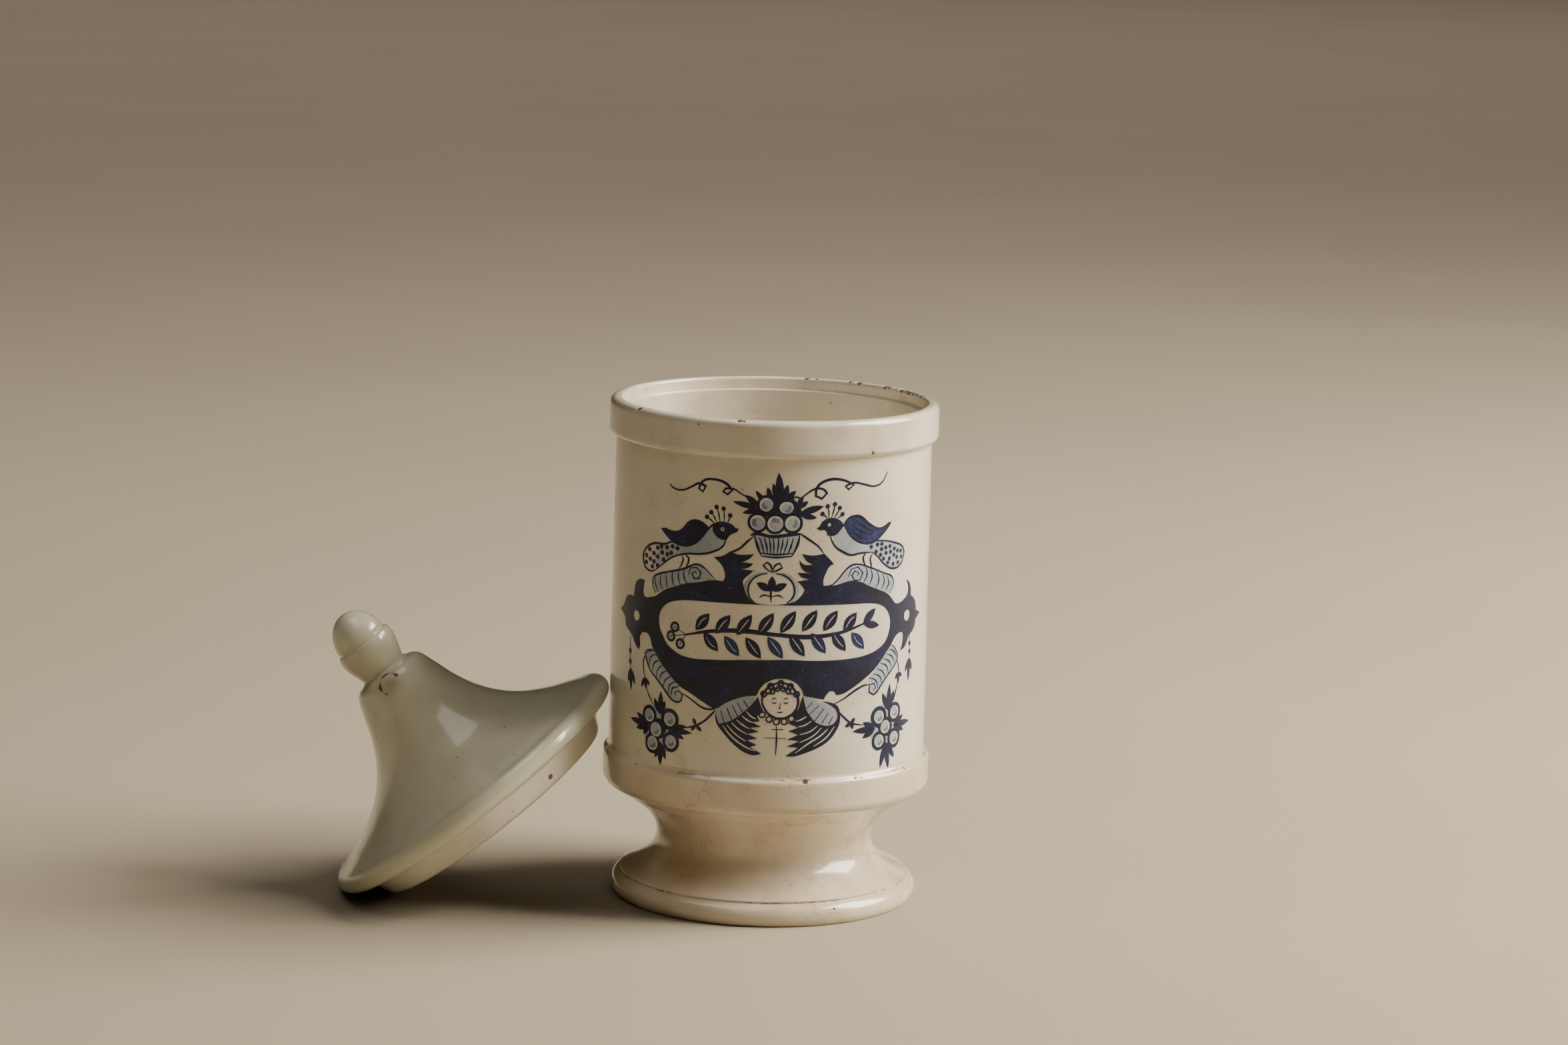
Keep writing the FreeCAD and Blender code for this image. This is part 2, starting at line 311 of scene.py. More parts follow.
def drum_radius(height):
    """The drum is a little wider at its foot than at its top."""
    share = (height - COLLAR_TOP) / (DRUM_TOP - COLLAR_TOP)
    return DRUM_FOOT_RADIUS + (DRUM_TOP_RADIUS - DRUM_FOOT_RADIUS) * share


drum_outline = (
    line((DRUM_FOOT_RADIUS, COLLAR_TOP), (DRUM_TOP_RADIUS, DRUM_TOP), 2.5)
    + line((DRUM_TOP_RADIUS, DRUM_TOP), (BORE, DRUM_TOP), 2.0)
    + line((BORE, DRUM_TOP), (BORE, COLLAR_TOP), 4.0)
    + line((BORE, COLLAR_TOP), (DRUM_FOOT_RADIUS, COLLAR_TOP), 2.0))
bm = turned(drum_outline)
make_uneven(bm)
drum = finish_mesh(bm, "drum_glazed", JAR)
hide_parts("drum")

# %% Rim band
RIM_TOP = 193.4
RIM_RADIUS = 63.0
rim_outline = (
    line((59.5, RIM_TOP), (60.4, RIM_TOP), 0.4)
    + arc((60.4, RIM_TOP), (62.24, 192.64), (RIM_RADIUS, 190.8))
    + line((RIM_RADIUS, 190.8), (RIM_RADIUS, 181.6))
    + arc((RIM_RADIUS, 181.6), (62.55, 180.15), (61.55, 179.4), 0.3)
    + arc((61.55, 179.4), (60.75, 179.05), (DRUM_TOP_RADIUS, DRUM_TOP), 0.3)
    + line((DRUM_TOP_RADIUS, DRUM_TOP), (BORE, DRUM_TOP), 2.0)
    + line((BORE, DRUM_TOP), (BORE, 188.4), 1.5) + line((BORE, 188.4), (58.3, 188.8), 0.7)
    + line((58.3, 188.8), (58.3, 192.2)) + arc((58.3, 192.2), (58.65, 193.05), (59.5, RIM_TOP), 0.3))
bm = turned(rim_outline, steps=384)
make_uneven(bm)
press_chips(bm, RIM_CHIPS, inwards)
press_chips(bm, BACK_CHIPS, lambda place: Vector((0, 0, -1)))
rim_band = finish_mesh(bm, "rim_band_glazed", JAR)
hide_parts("rim_band")

# %% [markdown]
# ## The lid
# The lid is turned upright, about its own axis, and then tipped as one with `bmesh.ops.transform`.
# Its datum is the middle of its widest plane. The dome is a hollow bell whose edge turns up in a
# round bead; below it a tapering ring drops inside the mouth; the knob is an acorn in two parts.

# %% Where the lid leans
LEAN = math.radians(38.7)
LID_DATUM = Vector((-111.892, -11.5, 41.475))
lid_place = Matrix.Translation(LID_DATUM) @ Matrix.Rotation(-LEAN, 4, "Y")


def lid_piece(outline, name, *nodes, steps=TURN_STEPS):
    """Turn a section of the lid, tip it into place and let it replace its nodes."""
    bm = turned(outline, steps)
    make_uneven(bm)
    bmesh.ops.transform(bm, matrix=lid_place, verts=bm.verts)
    piece = finish_mesh(bm, name, LID)
    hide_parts(*nodes)
    return piece


# %% Dome of the lid
BEAD_CENTRE, BEAD_RADIUS, BEAD_HEIGHT = 60.9, 4.1, 0.9
UNDERSIDE = BEAD_HEIGHT - BEAD_RADIUS
bead_turn = math.radians(82)
bead_top = (BEAD_CENTRE + BEAD_RADIUS * math.cos(bead_turn),
            BEAD_HEIGHT + BEAD_RADIUS * math.sin(bead_turn))
NECK = (9.2, 57.2)
dome_outline = (
    line((50.0, UNDERSIDE), (BEAD_CENTRE, UNDERSIDE), 1.5)
    + arc((BEAD_CENTRE, UNDERSIDE), (BEAD_CENTRE + BEAD_RADIUS, BEAD_HEIGHT), bead_top)
    + curve(bead_top, (58.8, 5.85), (56.0, 7.05), (48.6, 10.1), (43.2, 12.85), (37.7, 16.2),
            (32.6, 20.3), (28.1, 25.1), (24.5, 30.2), (21.75, 35.2), (19.6, 40.2), (17.9, 45.2),
            (16.5, 49.2), (15.5, 52.0), (14.2, 54.2), (12.4, 55.45), (10.4, 56.2), NECK)
    + line(NECK, (0.0, 57.2), 2.0) + [(0.0, 57.2)])
hollow_outline = (
    [(0.0, 48.0)]
    + curve((0.0, 48.0), (6.5, 47.0), (11.6, 43.2), (15.4, 37.4), (18.2, 31.6), (21.8, 25.2),
            (26.3, 19.4), (32.0, 14.0), (38.6, 9.4), (45.0, 5.0), (48.8, 1.2),
            (50.0, UNDERSIDE), spacing=1.3)[1:])
lid_dome = lid_piece(hollow_outline + dome_outline, "lid_dome_glazed", "lid_brim", "lid_bell")

# %% Locating flange
flange_outline = (
    line((50.0, UNDERSIDE), (55.9, UNDERSIDE), 2.0)
    + arc((55.9, UNDERSIDE), (55.5, -3.5), (55.4, -4.2), 0.3)
    + line((55.4, -4.2), (51.9, -10.8)) + arc((51.9, -10.8), (50.8, -12.2), (48.6, -13.0))
    + arc((48.6, -13.0), (47.55, -12.8), (47.05, -11.6), 0.3)
    + curve((47.05, -11.6), (47.4, -9.0), (48.3, -6.2), (50.0, UNDERSIDE)))
lid_flange = lid_piece(flange_outline, "lid_flange_glazed", "lid_flange")

# %% Acorn knob
cup_outline = (
    line((0.0, 57.2), NECK, 2.0)
    + curve(NECK, (9.6, 58.3), (10.1, 59.9), (10.75, 61.8), (11.45, 64.3), (11.85, 67.0),
            (11.5, 69.5), spacing=0.5)
    + arc((11.5, 69.5), (11.15, 70.1), (10.3, 70.4), 0.25)
    + line((10.3, 70.4), (0.0, 70.4), 2.0) + [(0.0, 70.4)])
finial_cup = lid_piece(cup_outline, "finial_cup_glazed", "finial_cup", steps=144)
CAP_RADIUS, CAP_BASE, CAP_TOP = 10.5, 70.4, 83.2
cap_dome = [(CAP_RADIUS * math.cos(a), CAP_BASE + (CAP_TOP - CAP_BASE) * math.sin(a))
            for a in np.radians(np.linspace(7, 90, 30))]
cap_dome[-1] = (0.0, CAP_TOP)
cap_outline = (line((0.0, CAP_BASE), (10.2, CAP_BASE), 2.0)
               + arc((10.2, CAP_BASE), (10.15, 71.0), cap_dome[0], 0.25) + cap_dome)
finial_cap = lid_piece(cap_outline, "finial_cap_glazed", "finial_cap", steps=144)

# %% [markdown]
# ## Glaze
# The body is buff earthenware under an opaque cream tin glaze, fired until it runs smooth. The
# eye sees a soft cream colour that drifts where the glaze pools, a clear glassy surface over
# it, pinholes a few tenths of a millimetre across, fine crazing that has taken in brown dirt,
# and bare brown clay where the edge is chipped. One function makes the glaze; the foot, drum and
# lid each give it their own colours. The foot's and drum's differ because each pooled and aged
# in its own way. The lid's grey-green cast and its lightness are painted light for the cool
# window light on it, and the flange's lighter warm tone is partly painted light for the floor's bounce.

# %% Colours and nodes


def colour(code):
    """A linear colour from an sRGB hex value such as 'DCD3BD'."""
    parts = [int(code[i:i + 2], 16) / 255 for i in (0, 2, 4)]
    return tuple(p / 12.92 if p <= 0.04045 else ((p + 0.055) / 1.055) ** 2.4 for p in parts) + (1.0,)


def add(tree, kind, feeds=None, **settings):
    """Add a node. settings name its properties or inputs. feeds map an input to what feeds it: a
    value, a socket, or a node, which stands for the first of its outputs that is in use."""
    node = tree.nodes.new("ShaderNode" + kind)
    values = {}
    for name, value in settings.items():
        if hasattr(node, name):
            setattr(node, name, value)
        else:
            values[name.replace("_", " ")] = value
    values.update(feeds or {})
    for name, value in values.items():
        if isinstance(value, bpy.types.Node):
            value = next(output for output in value.outputs if output.enabled)
        if isinstance(value, bpy.types.NodeSocket):
            tree.links.new(value, node.inputs[name])
        else:
            node.inputs[name].default_value = value
    return node


def new_material(name):
    material = bpy.data.materials.new(name)
    material.use_nodes = True
    tree = material.node_tree
    tree.nodes.clear()
    return material, tree


# %% Glaze
PER_METRE = 1000.0      # a pattern one millimetre across has this scale on Object coordinates
GLOSS = 0.27            # roughness under the clear coat
SMOOTH = {"interpolation_type": "SMOOTHSTEP"}       # eased, so that a patch has no hard edge


def glaze(name, cream, pooled, dirt, chips=(), crazing=0.35, craze_mm=5.0, specks=0.7, drift_mm=45.0,
          stain=0.12, pitted=0.10, haze=(), edge=None):
    """A glossy tin glaze. chips are (place in mm, size) where the clay shows, haze where it is
    soiled, edge the height in mm of a sharp edge where it is worn brown."""
    material, tree = new_material(name)
    cream, pooled, dirt = colour(cream), colour(pooled), colour(dirt)
    here = add(tree, "TexCoord").outputs["Object"]

    # Cream that drifts in tone over some centimetres, and mottles over some millimetres.
    drift = add(tree, "TexNoise", {"Vector": here}, Scale=PER_METRE / drift_mm, Detail=3.0,
                Roughness=0.55)
    mottle = add(tree, "TexNoise", {"Vector": here}, Scale=PER_METRE / 6.0, Detail=4.0)
    share = add(tree, "MapRange", {"Value": drift}, From_Min=0.38, From_Max=0.68, **SMOOTH)
    base = add(tree, "Mix", {0: share, 6: cream, 7: pooled}, data_type="RGBA")
    share = add(tree, "MapRange", {"Value": mottle}, From_Min=0.50, From_Max=0.80, To_Max=0.22,
                **SMOOTH)
    base = add(tree, "Mix", {0: share, 6: base, 7: pooled}, data_type="RGBA")

    # Brown crazing: the edges of bent cells, only where the body is stained.
    stained = add(tree, "TexNoise", {"Vector": here}, Scale=PER_METRE / 22.0, Detail=2.0)
    bent = add(tree, "TexNoise", {"Vector": here}, Scale=PER_METRE / 4.0, Detail=2.0)
    shift = add(tree, "VectorMath", {0: bent.outputs["Color"]}, operation="SCALE", Scale=1.6 * MM)
    wandering = add(tree, "VectorMath", {0: here, 1: shift}, operation="ADD")
    cells = add(tree, "TexVoronoi", {"Vector": wandering}, feature="DISTANCE_TO_EDGE",
                Scale=PER_METRE / craze_mm)
    gaps = add(tree, "MapRange", {"Value": cells}, From_Min=0.055, From_Max=0.010, **SMOOTH)
    where = add(tree, "MapRange", {"Value": stained}, From_Min=0.46, From_Max=0.64, To_Max=crazing,
                **SMOOTH)
    crack = add(tree, "Math", {0: gaps, 1: where}, operation="MULTIPLY")
    share = add(tree, "MapRange", {"Value": stained}, From_Min=0.54, From_Max=0.70, To_Max=stain,
                **SMOOTH)
    base = add(tree, "Mix", {0: share, 6: base, 7: dirt}, data_type="RGBA")
    base = add(tree, "Mix", {0: crack, 6: base, 7: dirt}, data_type="RGBA")

    # Pinholes: the middles of a few cells.
    dots = add(tree, "TexVoronoi", {"Vector": here}, feature="F1", Scale=PER_METRE / 5.5)
    middles = add(tree, "MapRange", {"Value": dots}, From_Min=0.10, From_Max=0.055, **SMOOTH)
    chance = add(tree, "SeparateColor", {"Color": dots.outputs["Color"]})
    few = add(tree, "MapRange", {"Value": chance}, From_Min=0.72, From_Max=0.90, To_Max=specks,
              **SMOOTH)
    hole = add(tree, "Math", {0: middles, 1: few}, operation="MULTIPLY")
    base = add(tree, "Mix", {0: hole, 6: base, 7: dirt}, data_type="RGBA")

    if edge is not None:
        level = add(tree, "SeparateXYZ", {"Vector": here}).outputs["Z"]
        above = add(tree, "Math", {0: level, 1: edge * MM}, operation="SUBTRACT")
        away = add(tree, "Math", {0: above}, operation="ABSOLUTE")
        rubbed = add(tree, "MapRange", {"Value": away}, From_Min=0.45 * MM, From_Max=0.10 * MM, **SMOOTH)
        for source, low, high, top in ((bent, 0.47, 0.55, 0.75), (stained, 0.44, 0.56, 1.0)):
            patchy = add(tree, "MapRange", {"Value": source}, From_Min=low, From_Max=high, To_Max=top,
                         **SMOOTH)
            rubbed = add(tree, "Math", {0: rubbed, 1: patchy}, operation="MULTIPLY")
        base = add(tree, "Mix", {0: rubbed, 6: base, 7: dirt}, data_type="RGBA")

    for place, size in haze:
        away = add(tree, "VectorMath", {0: here, 1: place * MM}, operation="DISTANCE").outputs["Value"]
        near = add(tree, "MapRange", {"Value": away}, From_Min=size * MM, From_Max=0.0, To_Max=0.8,
                   **SMOOTH)
        soiled = add(tree, "Math", {0: near, 1: bent}, operation="MULTIPLY")
        base = add(tree, "Mix", {0: soiled, 6: base, 7: dirt}, data_type="RGBA")

    # Chips: ragged spots round each place, the nearest one counting.
    bare = None
    ragged = add(tree, "Math", {0: mottle, 1: 0.9}, operation="MULTIPLY")
    for place, size in chips:
        away = add(tree, "VectorMath", {0: here, 1: place * MM}, operation="DISTANCE").outputs["Value"]
        away = add(tree, "Math", {0: away, 1: PER_METRE / size}, operation="MULTIPLY")
        away = add(tree, "Math", {0: away, 1: ragged}, operation="ADD")
        spot = add(tree, "MapRange", {"Value": away}, From_Min=1.45, From_Max=1.15, **SMOOTH)
        if bare is None:
            bare = spot
        else:
            bare = add(tree, "Math", {0: bare, 1: spot}, operation="MAXIMUM")

    height = add(tree, "Math", {0: hole, 1: -0.5}, operation="MULTIPLY")
    for source, amount in ((mottle, pitted), (crack, -0.12)):
        part = add(tree, "Math", {0: source, 1: amount}, operation="MULTIPLY")
        height = add(tree, "Math", {0: height, 1: part}, operation="ADD")
    if bare is None:
        rough = add(tree, "MapRange", {"Value": drift}, To_Min=GLOSS - 0.04, To_Max=GLOSS + 0.08)
    else:
        share = add(tree, "MapRange", {"Value": bent}, From_Min=0.35, From_Max=0.65, **SMOOTH)
        clay = add(tree, "Mix", {0: share, 6: colour("6B5138"), 7: colour("4A3626")}, data_type="RGBA")
        base = add(tree, "Mix", {0: bare, 6: base, 7: clay}, data_type="RGBA")
        sunk = add(tree, "Math", {0: bare, 1: bent}, operation="MULTIPLY")
        height = add(tree, "Math", {0: height, 1: sunk}, operation="SUBTRACT")
        rough = add(tree, "MapRange", {"Value": bare}, To_Min=GLOSS, To_Max=0.8)
    bump = add(tree, "Bump", {"Height": height}, Strength=0.35, Distance=0.25 * MM)
    shader = add(tree, "BsdfPrincipled", {"Base Color": base, "Roughness": rough, "Normal": bump},
                 Metallic=0.0, IOR=1.52, Coat_Weight=0.7, Coat_Roughness=0.035, Coat_IOR=1.5)
    add(tree, "OutputMaterial", {"Surface": shader})
    print(name, len(tree.nodes), "nodes")
    return material


# %% The glazes of this jar
drum_glaze = glaze("cream_tin_glaze_drum", "E4DCC9", "DACFB8", "8A6C48", crazing=0.14, stain=0.06)
rim_glaze = glaze("cream_tin_glaze_rim", "E2DAC8", "D6CBB4", "7A5A38", RIM_CHIPS + BACK_CHIPS,
                  crazing=0.12, specks=0.9, pitted=0.35)
collar_glaze = glaze("cream_tin_glaze_collar", "E2D6C0", "D7C5A8", "94693C", COLLAR_CHIPS, crazing=0.42,
                     craze_mm=6.0, drift_mm=30.0, stain=0.30, edge=57.7)
foot_glaze = glaze("pinkish_tin_glaze_foot", "E3D6C0", "D6C4A8", "9A774E", FOOT_CHIPS, crazing=0.26,
                   drift_mm=26.0, stain=0.2, edge=8.6)
# A worn brown arc, a little over half a ring, lies on the lid's shoulder beside the knob.
SHOULDER_HEIGHTS = (45.2, 49.2, 52.0, 54.2, 55.45, 56.2)
SHOULDER_RADII = (17.9, 16.5, 15.5, 14.2, 12.4, 10.4)
SCAR_AZIMUTH = math.radians(-85)
SCAR_HEIGHT, SCAR_RADIUS = 52.3, 4.2


def on_shoulder(across, up):
    """A place on the lid's shoulder: across and up from the middle of the scar, in mm."""
    height = SCAR_HEIGHT + 0.85 * up
    radius = float(np.interp(height, SHOULDER_HEIGHTS, SHOULDER_RADII))
    a = SCAR_AZIMUTH + across / radius
    return lid_place @ Vector((radius * math.cos(a), radius * math.sin(a), height))


SCAR = [(on_shoulder(SCAR_RADIUS * math.cos(a), SCAR_RADIUS * math.sin(a)), 0.62 + 0.34 * math.sin(5 * a))
        for a in np.radians(np.arange(20, 224, 13))]
LID_CHIPS = [(lid_place @ Vector((26, -33, 14.4)), 0.7), (lid_place @ Vector((-9, -24, 36)), 0.6)]
# The lid glaze's grey-green cast and raised lightness are painted light: they stand in for the cool window
# light falling on the lid and knob.
lid_glaze = glaze("tin_glaze_lid_painted_cool_light", "DBD9C1", "CECBAF", "7C6140", SCAR + LID_CHIPS,
                  crazing=0.03, craze_mm=7.0, drift_mm=38.0, stain=0.05, haze=[(on_shoulder(0, 0), 7.0)])
# The flange has a warm pinkish glaze of its own; its extra lightness is painted light, standing in for the
# bounce from the floor below it.
flange_glaze = glaze("warm_tin_glaze_flange_painted_bounce", "ECE4D3", "E2D7C2", "7C5A38",
                     [(lid_place @ Vector((33.0, -41.8, -9.2)), 1.3)], crazing=0.08, drift_mm=26.0,
                     stain=0.05)
for piece, material in ((foot_ring, foot_glaze), (pedestal, foot_glaze), (base_collar, collar_glaze),
                        (drum, drum_glaze), (rim_band, rim_glaze), (lid_dome, lid_glaze),
                        (lid_flange, flange_glaze), (finial_cup, lid_glaze), (finial_cap, lid_glaze)):
    piece.data.materials.append(material)

# %% [markdown]
# ## The cobalt painting
# The front is painted by hand with cobalt, from a pale wash to nearly black, and the glaze runs
# over it. A picture on a pot could be an image, but here it is drawn: each stroke is a Bezier
# curve with a width at each point, and each filled shape is a flat curve. They are set out on
# the unrolled drum, where a point is (millimetres to the right of the middle, height), made a
# thin film and wrapped round the drum. Later tones lie a few hundredths of a millimetre higher.

# %% Strokes and shapes on the unrolled drum
UNROLL_RADIUS = 61.0
FILM = 0.05                     # mm, half the thickness of the paint
LIFT = {"wash": 0.015, "blue": 0.035, "dark": 0.055, "cream": 0.085, "wash_top": 0.10,
        "slate": 0.115}
CORNER = math.radians(50)       # a sharper turn than this stays a corner
HEAVY_HAND = 1.3                # how much wider the brush spread than each stroke's own width
films = {tone: bmesh.new() for tone in LIFT}


def turning(points, i, closed):
    """How far the line turns at its point i."""
    if not closed and i in (0, len(points) - 1):
        return 0.0
    before = Vector(points[i]) - Vector(points[i - 1])
    after = Vector(points[(i + 1) % len(points)]) - Vector(points[i])
    return abs(before.angle_signed(after, 0.0)) if before.length and after.length else 0.0


def brushed(points, closed, half_width=0.0):
    """A Bezier spline through the points, in a new curve; half_width makes it a stroke."""
    curve_data = bpy.data.curves.new("brushed", "CURVE")
    curve_data.resolution_u = 5
    add_spline(curve_data, points, closed, half_width)
    if half_width:
        curve_data.dimensions = "3D"
        curve_data.bevel_depth = 1.0
        curve_data.bevel_resolution = 1
        curve_data.use_fill_caps = True
    else:
        curve_data.dimensions = "2D"
        curve_data.fill_mode = "BOTH"
        curve_data.extrude = FILM
    return curve_data


def add_spline(curve_data, points, closed, half_width=0.0):
    """Add a spline that keeps its corners and tapers at its ends like a brush stroke."""
    spline = curve_data.splines.new("BEZIER")
    spline.bezier_points.add(len(points) - 1)
    spline.use_cyclic_u = closed
    last = max(1, len(points) - 1)
    for i, knot in enumerate(spline.bezier_points):
        knot.co = (*points[i], 0.0)
        handle = "VECTOR" if turning(points, i, closed) > CORNER else "AUTO"
        knot.handle_left_type = knot.handle_right_type = handle
        if half_width:
            press = 1.0 if closed else min(1.0, 0.45 + 2.4 * min(i, last - i) / last)
            hand = 1.0 + 0.3 * noise.noise(Vector((*points[i], 5.0)) * 0.7)
            knot.radius = half_width * press * hand * HEAVY_HAND


def lay_down(curve_data, tone, is_stroke):
    """Turn the curve into a film of paint in that tone's bmesh."""
    holder = bpy.data.objects.new("brushed", curve_data)
    mesh = bpy.data.meshes.new_from_object(holder)
    bpy.data.objects.remove(holder)
    bpy.data.curves.remove(curve_data)
    film = bmesh.new()
    film.from_mesh(mesh)
    bmesh.ops.remove_doubles(film, verts=film.verts, dist=1e-4)
    if is_stroke:
        for vert in film.verts:
            vert.co.z = max(-FILM, min(FILM, vert.co.z * 0.3))
    elif film.verts:
        across = [vert.co.x for vert in film.verts]
        for k in range(math.ceil(min(across) / 2), math.ceil(max(across) / 2)):
            bmesh.ops.bisect_plane(film, geom=film.verts[:] + film.edges[:] + film.faces[:],
                                   plane_co=(2 * k, 0, 0), plane_no=(1, 0, 0), dist=1e-5)
    bmesh.ops.recalc_face_normals(film, faces=film.faces)
    film.to_mesh(mesh)
    film.free()
    films[tone].from_mesh(mesh)
    bpy.data.meshes.remove(mesh)


def stroke(tone, width, *points, closed=False):
    lay_down(brushed(points, closed, width / 2), tone, True)


def shape(tone, outline, *holes):
    curve_data = brushed(outline, True)
    for hole in holes:
        add_spline(curve_data, hole, True)
    lay_down(curve_data, tone, False)


def round_points(centre, radius, tall=1.0, count=8):
    """Points round a hand-drawn circle: not quite even."""
    u, v = centre
    out = []
    for k in range(count):
        a = math.tau * k / count
        r = radius * (1 + 0.06 * noise.noise(Vector((u + math.cos(a), v + math.sin(a), 2.0))))
        out.append((u + r * math.cos(a), v + r * tall * math.sin(a)))
    return out


def dot(tone, centre, radius, tall=1.0):
    shape(tone, round_points(centre, radius, tall, 6))


def ring(tone, centre, radius, inner, tall=1.0):
    shape(tone, round_points(centre, radius, tall), round_points(centre, inner, tall))


def round_side(tone, centre, radius, toward):
    """Shade the side of a fruit that faces a place, with one curved stroke inside its outline."""
    facing = math.atan2(toward[1] - centre[1], toward[0] - centre[0])
    stroke(tone, radius * 0.62, *[(centre[0] + 0.5 * radius * math.cos(facing + turn),
                                   centre[1] + 0.5 * radius * math.sin(facing + turn))
                                  for turn in (-1.3, -0.45, 0.45, 1.3)])


def leaf(tone, base, tip, width):
    """A pointed leaf, fullest in its middle, as one loaded touch of the brush leaves it."""
    along = Vector(tip) - Vector(base)
    side = Vector((-along.y, along.x)).normalized() * width / 2
    edge = [(0.16, 0.55), (0.45, 1.0), (0.75, 0.72)]
    shape(tone, [tuple(base)] + [tuple(Vector(base) + along * far + side * wide) for far, wide in edge]
          + [tuple(tip)] + [tuple(Vector(base) + along * far - side * wide) for far, wide in reversed(edge)])


def bars(tone, width, *lines):
    for points in lines:
        stroke(tone, width, *points)


# %% [markdown]
# ### Fruit basket and tendrils
# Ringed fruits stand in a fluted bowl, with a plume of dark leaves behind and a curling tendril
# to each side.

# %% Fruit basket
for base, tip, width in (((3, 163), (2.2, 174.2), 3.0), ((-0.5, 163.5), (-1.9, 168.6), 2.0),
                         ((1.6, 164), (0.1, 170.2), 2.0), ((4.4, 164), (5.7, 169.8), 2.2),
                         ((4.8, 163.6), (8.8, 167.4), 2.2), ((-5, 160.5), (-14.9, 162.6), 2.2),
                         ((-5, 160), (-11.2, 158.5), 2.0), ((-4.8, 161.2), (-10.3, 165.3), 2.4),
                         ((-3, 162.8), (-6.4, 167.2), 1.8), ((9.6, 160.8), (13.6, 163.4), 2.0),
                         ((10.4, 159), (19.8, 161.5), 2.6), ((10.5, 158.3), (17.1, 157.1), 2.2),
                         ((9.5, 161.5), (11.6, 165.5), 1.8)):
    leaf("dark", base, tip, width)
shape("dark", [(-6.5, 159.5), (-3.5, 164), (1, 166), (5.5, 165.3), (9.8, 162.5), (11.5, 158.5),
               (9.5, 155.5), (1, 157.5), (-6.5, 157)])
for centre, radius, inner, tall, spot in (((-2.2, 162), 3.4, 2.5, 1.0, (-2.6, 161.7)),
                                          ((5.4, 161), 3.5, 2.7, 0.8, (5.9, 160.6)),
                                          ((-5.3, 155.2), 3.7, 2.8, 1.0, (-6.3, 155.1)),
                                          ((1.3, 154.9), 3.8, 2.9, 1.0, (1.4, 155.4)),
                                          ((7.8, 155.2), 3.8, 2.8, 1.0, (8.8, 154.9))):
    ring("dark", centre, radius + 0.15, inner - 0.2, tall)
    shape("cream", round_points(centre, inner, tall))
    dot("wash_top", (centre[0] + 0.1 * inner, centre[1] - 0.1 * inner), inner * 0.92, tall)
    round_side("slate", centre, inner, spot)
ring("blue", (9, 163.2), 2.2, 1.5)

# %% Bowl
shape("wash", [(-6.3, 150.3), (0, 149.8), (10.3, 150.6), (9.6, 147), (7.8, 143.2), (2, 142.6),
               (-3.8, 143.2), (-5.2, 146.5)])
stroke("dark", 1.1, (-7.8, 150.2), (-6, 150.9), (0, 150), (5, 150.5), (8.5, 151), (10.8, 151))
stroke("dark", 0.9, (-6.5, 150.5), (-5, 146), (-3.8, 143))
stroke("dark", 0.9, (10.6, 150.5), (9.9, 147.2), (8, 143))
bars("dark", 0.7, [(-4, 143.8), (2, 143.3), (8, 143.9)], [(-3.8, 142.7), (2, 142.2), (8, 142.8)])
for top, bottom in ((-4.5, -2.6), (-2.6, -1.3), (-0.8, -0.2), (0.6, 1.0), (2.6, 2.3), (4.4, 3.4),
                    (6.2, 4.7), (8.2, 6.3)):
    stroke("dark", 0.6, (top, 149.6), ((top + bottom) / 2 + 0.2, 146.5), (bottom, 143.8))
stroke("dark", 0.6, (-6.5, 150), (-9, 147.8), (-11.5, 145.3), (-14, 143.9), (-15, 143.5))
stroke("dark", 0.6, (10.5, 151.5), (13, 149.8), (16, 147.8), (18, 146.3), (20, 143.8))

# %% Tendrils
stroke("dark", 0.75, (-42, 166.7), (-40.5, 165.5), (-36, 165), (-32, 166.6), (-28.5, 168.3),
       (-25.8, 167.4), (-27, 165.3), (-28.7, 166.4), (-27, 169.3), (-22.5, 170.3), (-17.5, 169),
       (-15.3, 166.7), (-17, 165.1), (-18.8, 166), (-17.8, 167.3), (-14.5, 167.2), (-11.5, 165.5),
       (-7, 163.3))
stroke("dark", 0.75, (9.6, 162.5), (11, 164.5), (13, 166.3), (16.5, 168.1), (19.5, 167.7),
       (20.8, 166.3), (18.8, 164.3), (16.4, 165.4), (16.8, 168.5), (20.5, 171.1), (27, 171.1),
       (31.8, 169), (29.6, 167.4), (28.2, 168.7), (31.5, 169.8), (36.5, 168.9), (41, 167.9),
       (45, 169), (47.8, 172.8))

# %% [markdown]
# ### Two crested birds
# Each bird has a dark head and wing, a pale wash for its breast, a spotted tail and five crest
# feathers that end in dots.

# %% Left bird
shape("wash", [(-21, 149), (-17.2, 147.6), (-20, 144.2), (-26, 142.2), (-34.5, 141), (-40, 139.2),
               (-44, 137), (-48, 133.8), (-49, 138), (-44, 143), (-39.5, 145), (-34, 144.2),
               (-28.5, 146.2), (-24.5, 151), (-22.6, 152)])
shape("dark", [(-12.2, 152.5), (-13.6, 152.7), (-14.8, 153.8), (-17, 154.5), (-20, 154.6), (-22.2, 153.6),
               (-22.6, 151.8), (-21.4, 149.4), (-18.6, 147.9), (-16.8, 148), (-16, 149.4), (-14.5, 150.5),
               (-13, 151.2), (-12.6, 151.8)])
ring("cream", (-18.6, 151.9), 0.7, 0.35)
shape("dark", [(-45.8, 149.3), (-43.5, 149.8), (-41, 149.3), (-38, 149.4), (-36, 150.2), (-34.5, 151.7),
               (-33, 153.4), (-31, 154.4), (-29, 154.6), (-27, 154.1), (-25.3, 153.1), (-23.6, 151.9),
               (-25, 150), (-26.5, 148), (-28.5, 146), (-31, 144.5), (-34, 143.8), (-37, 144),
               (-39.5, 144.7), (-42, 146.2), (-44.2, 147.9)])
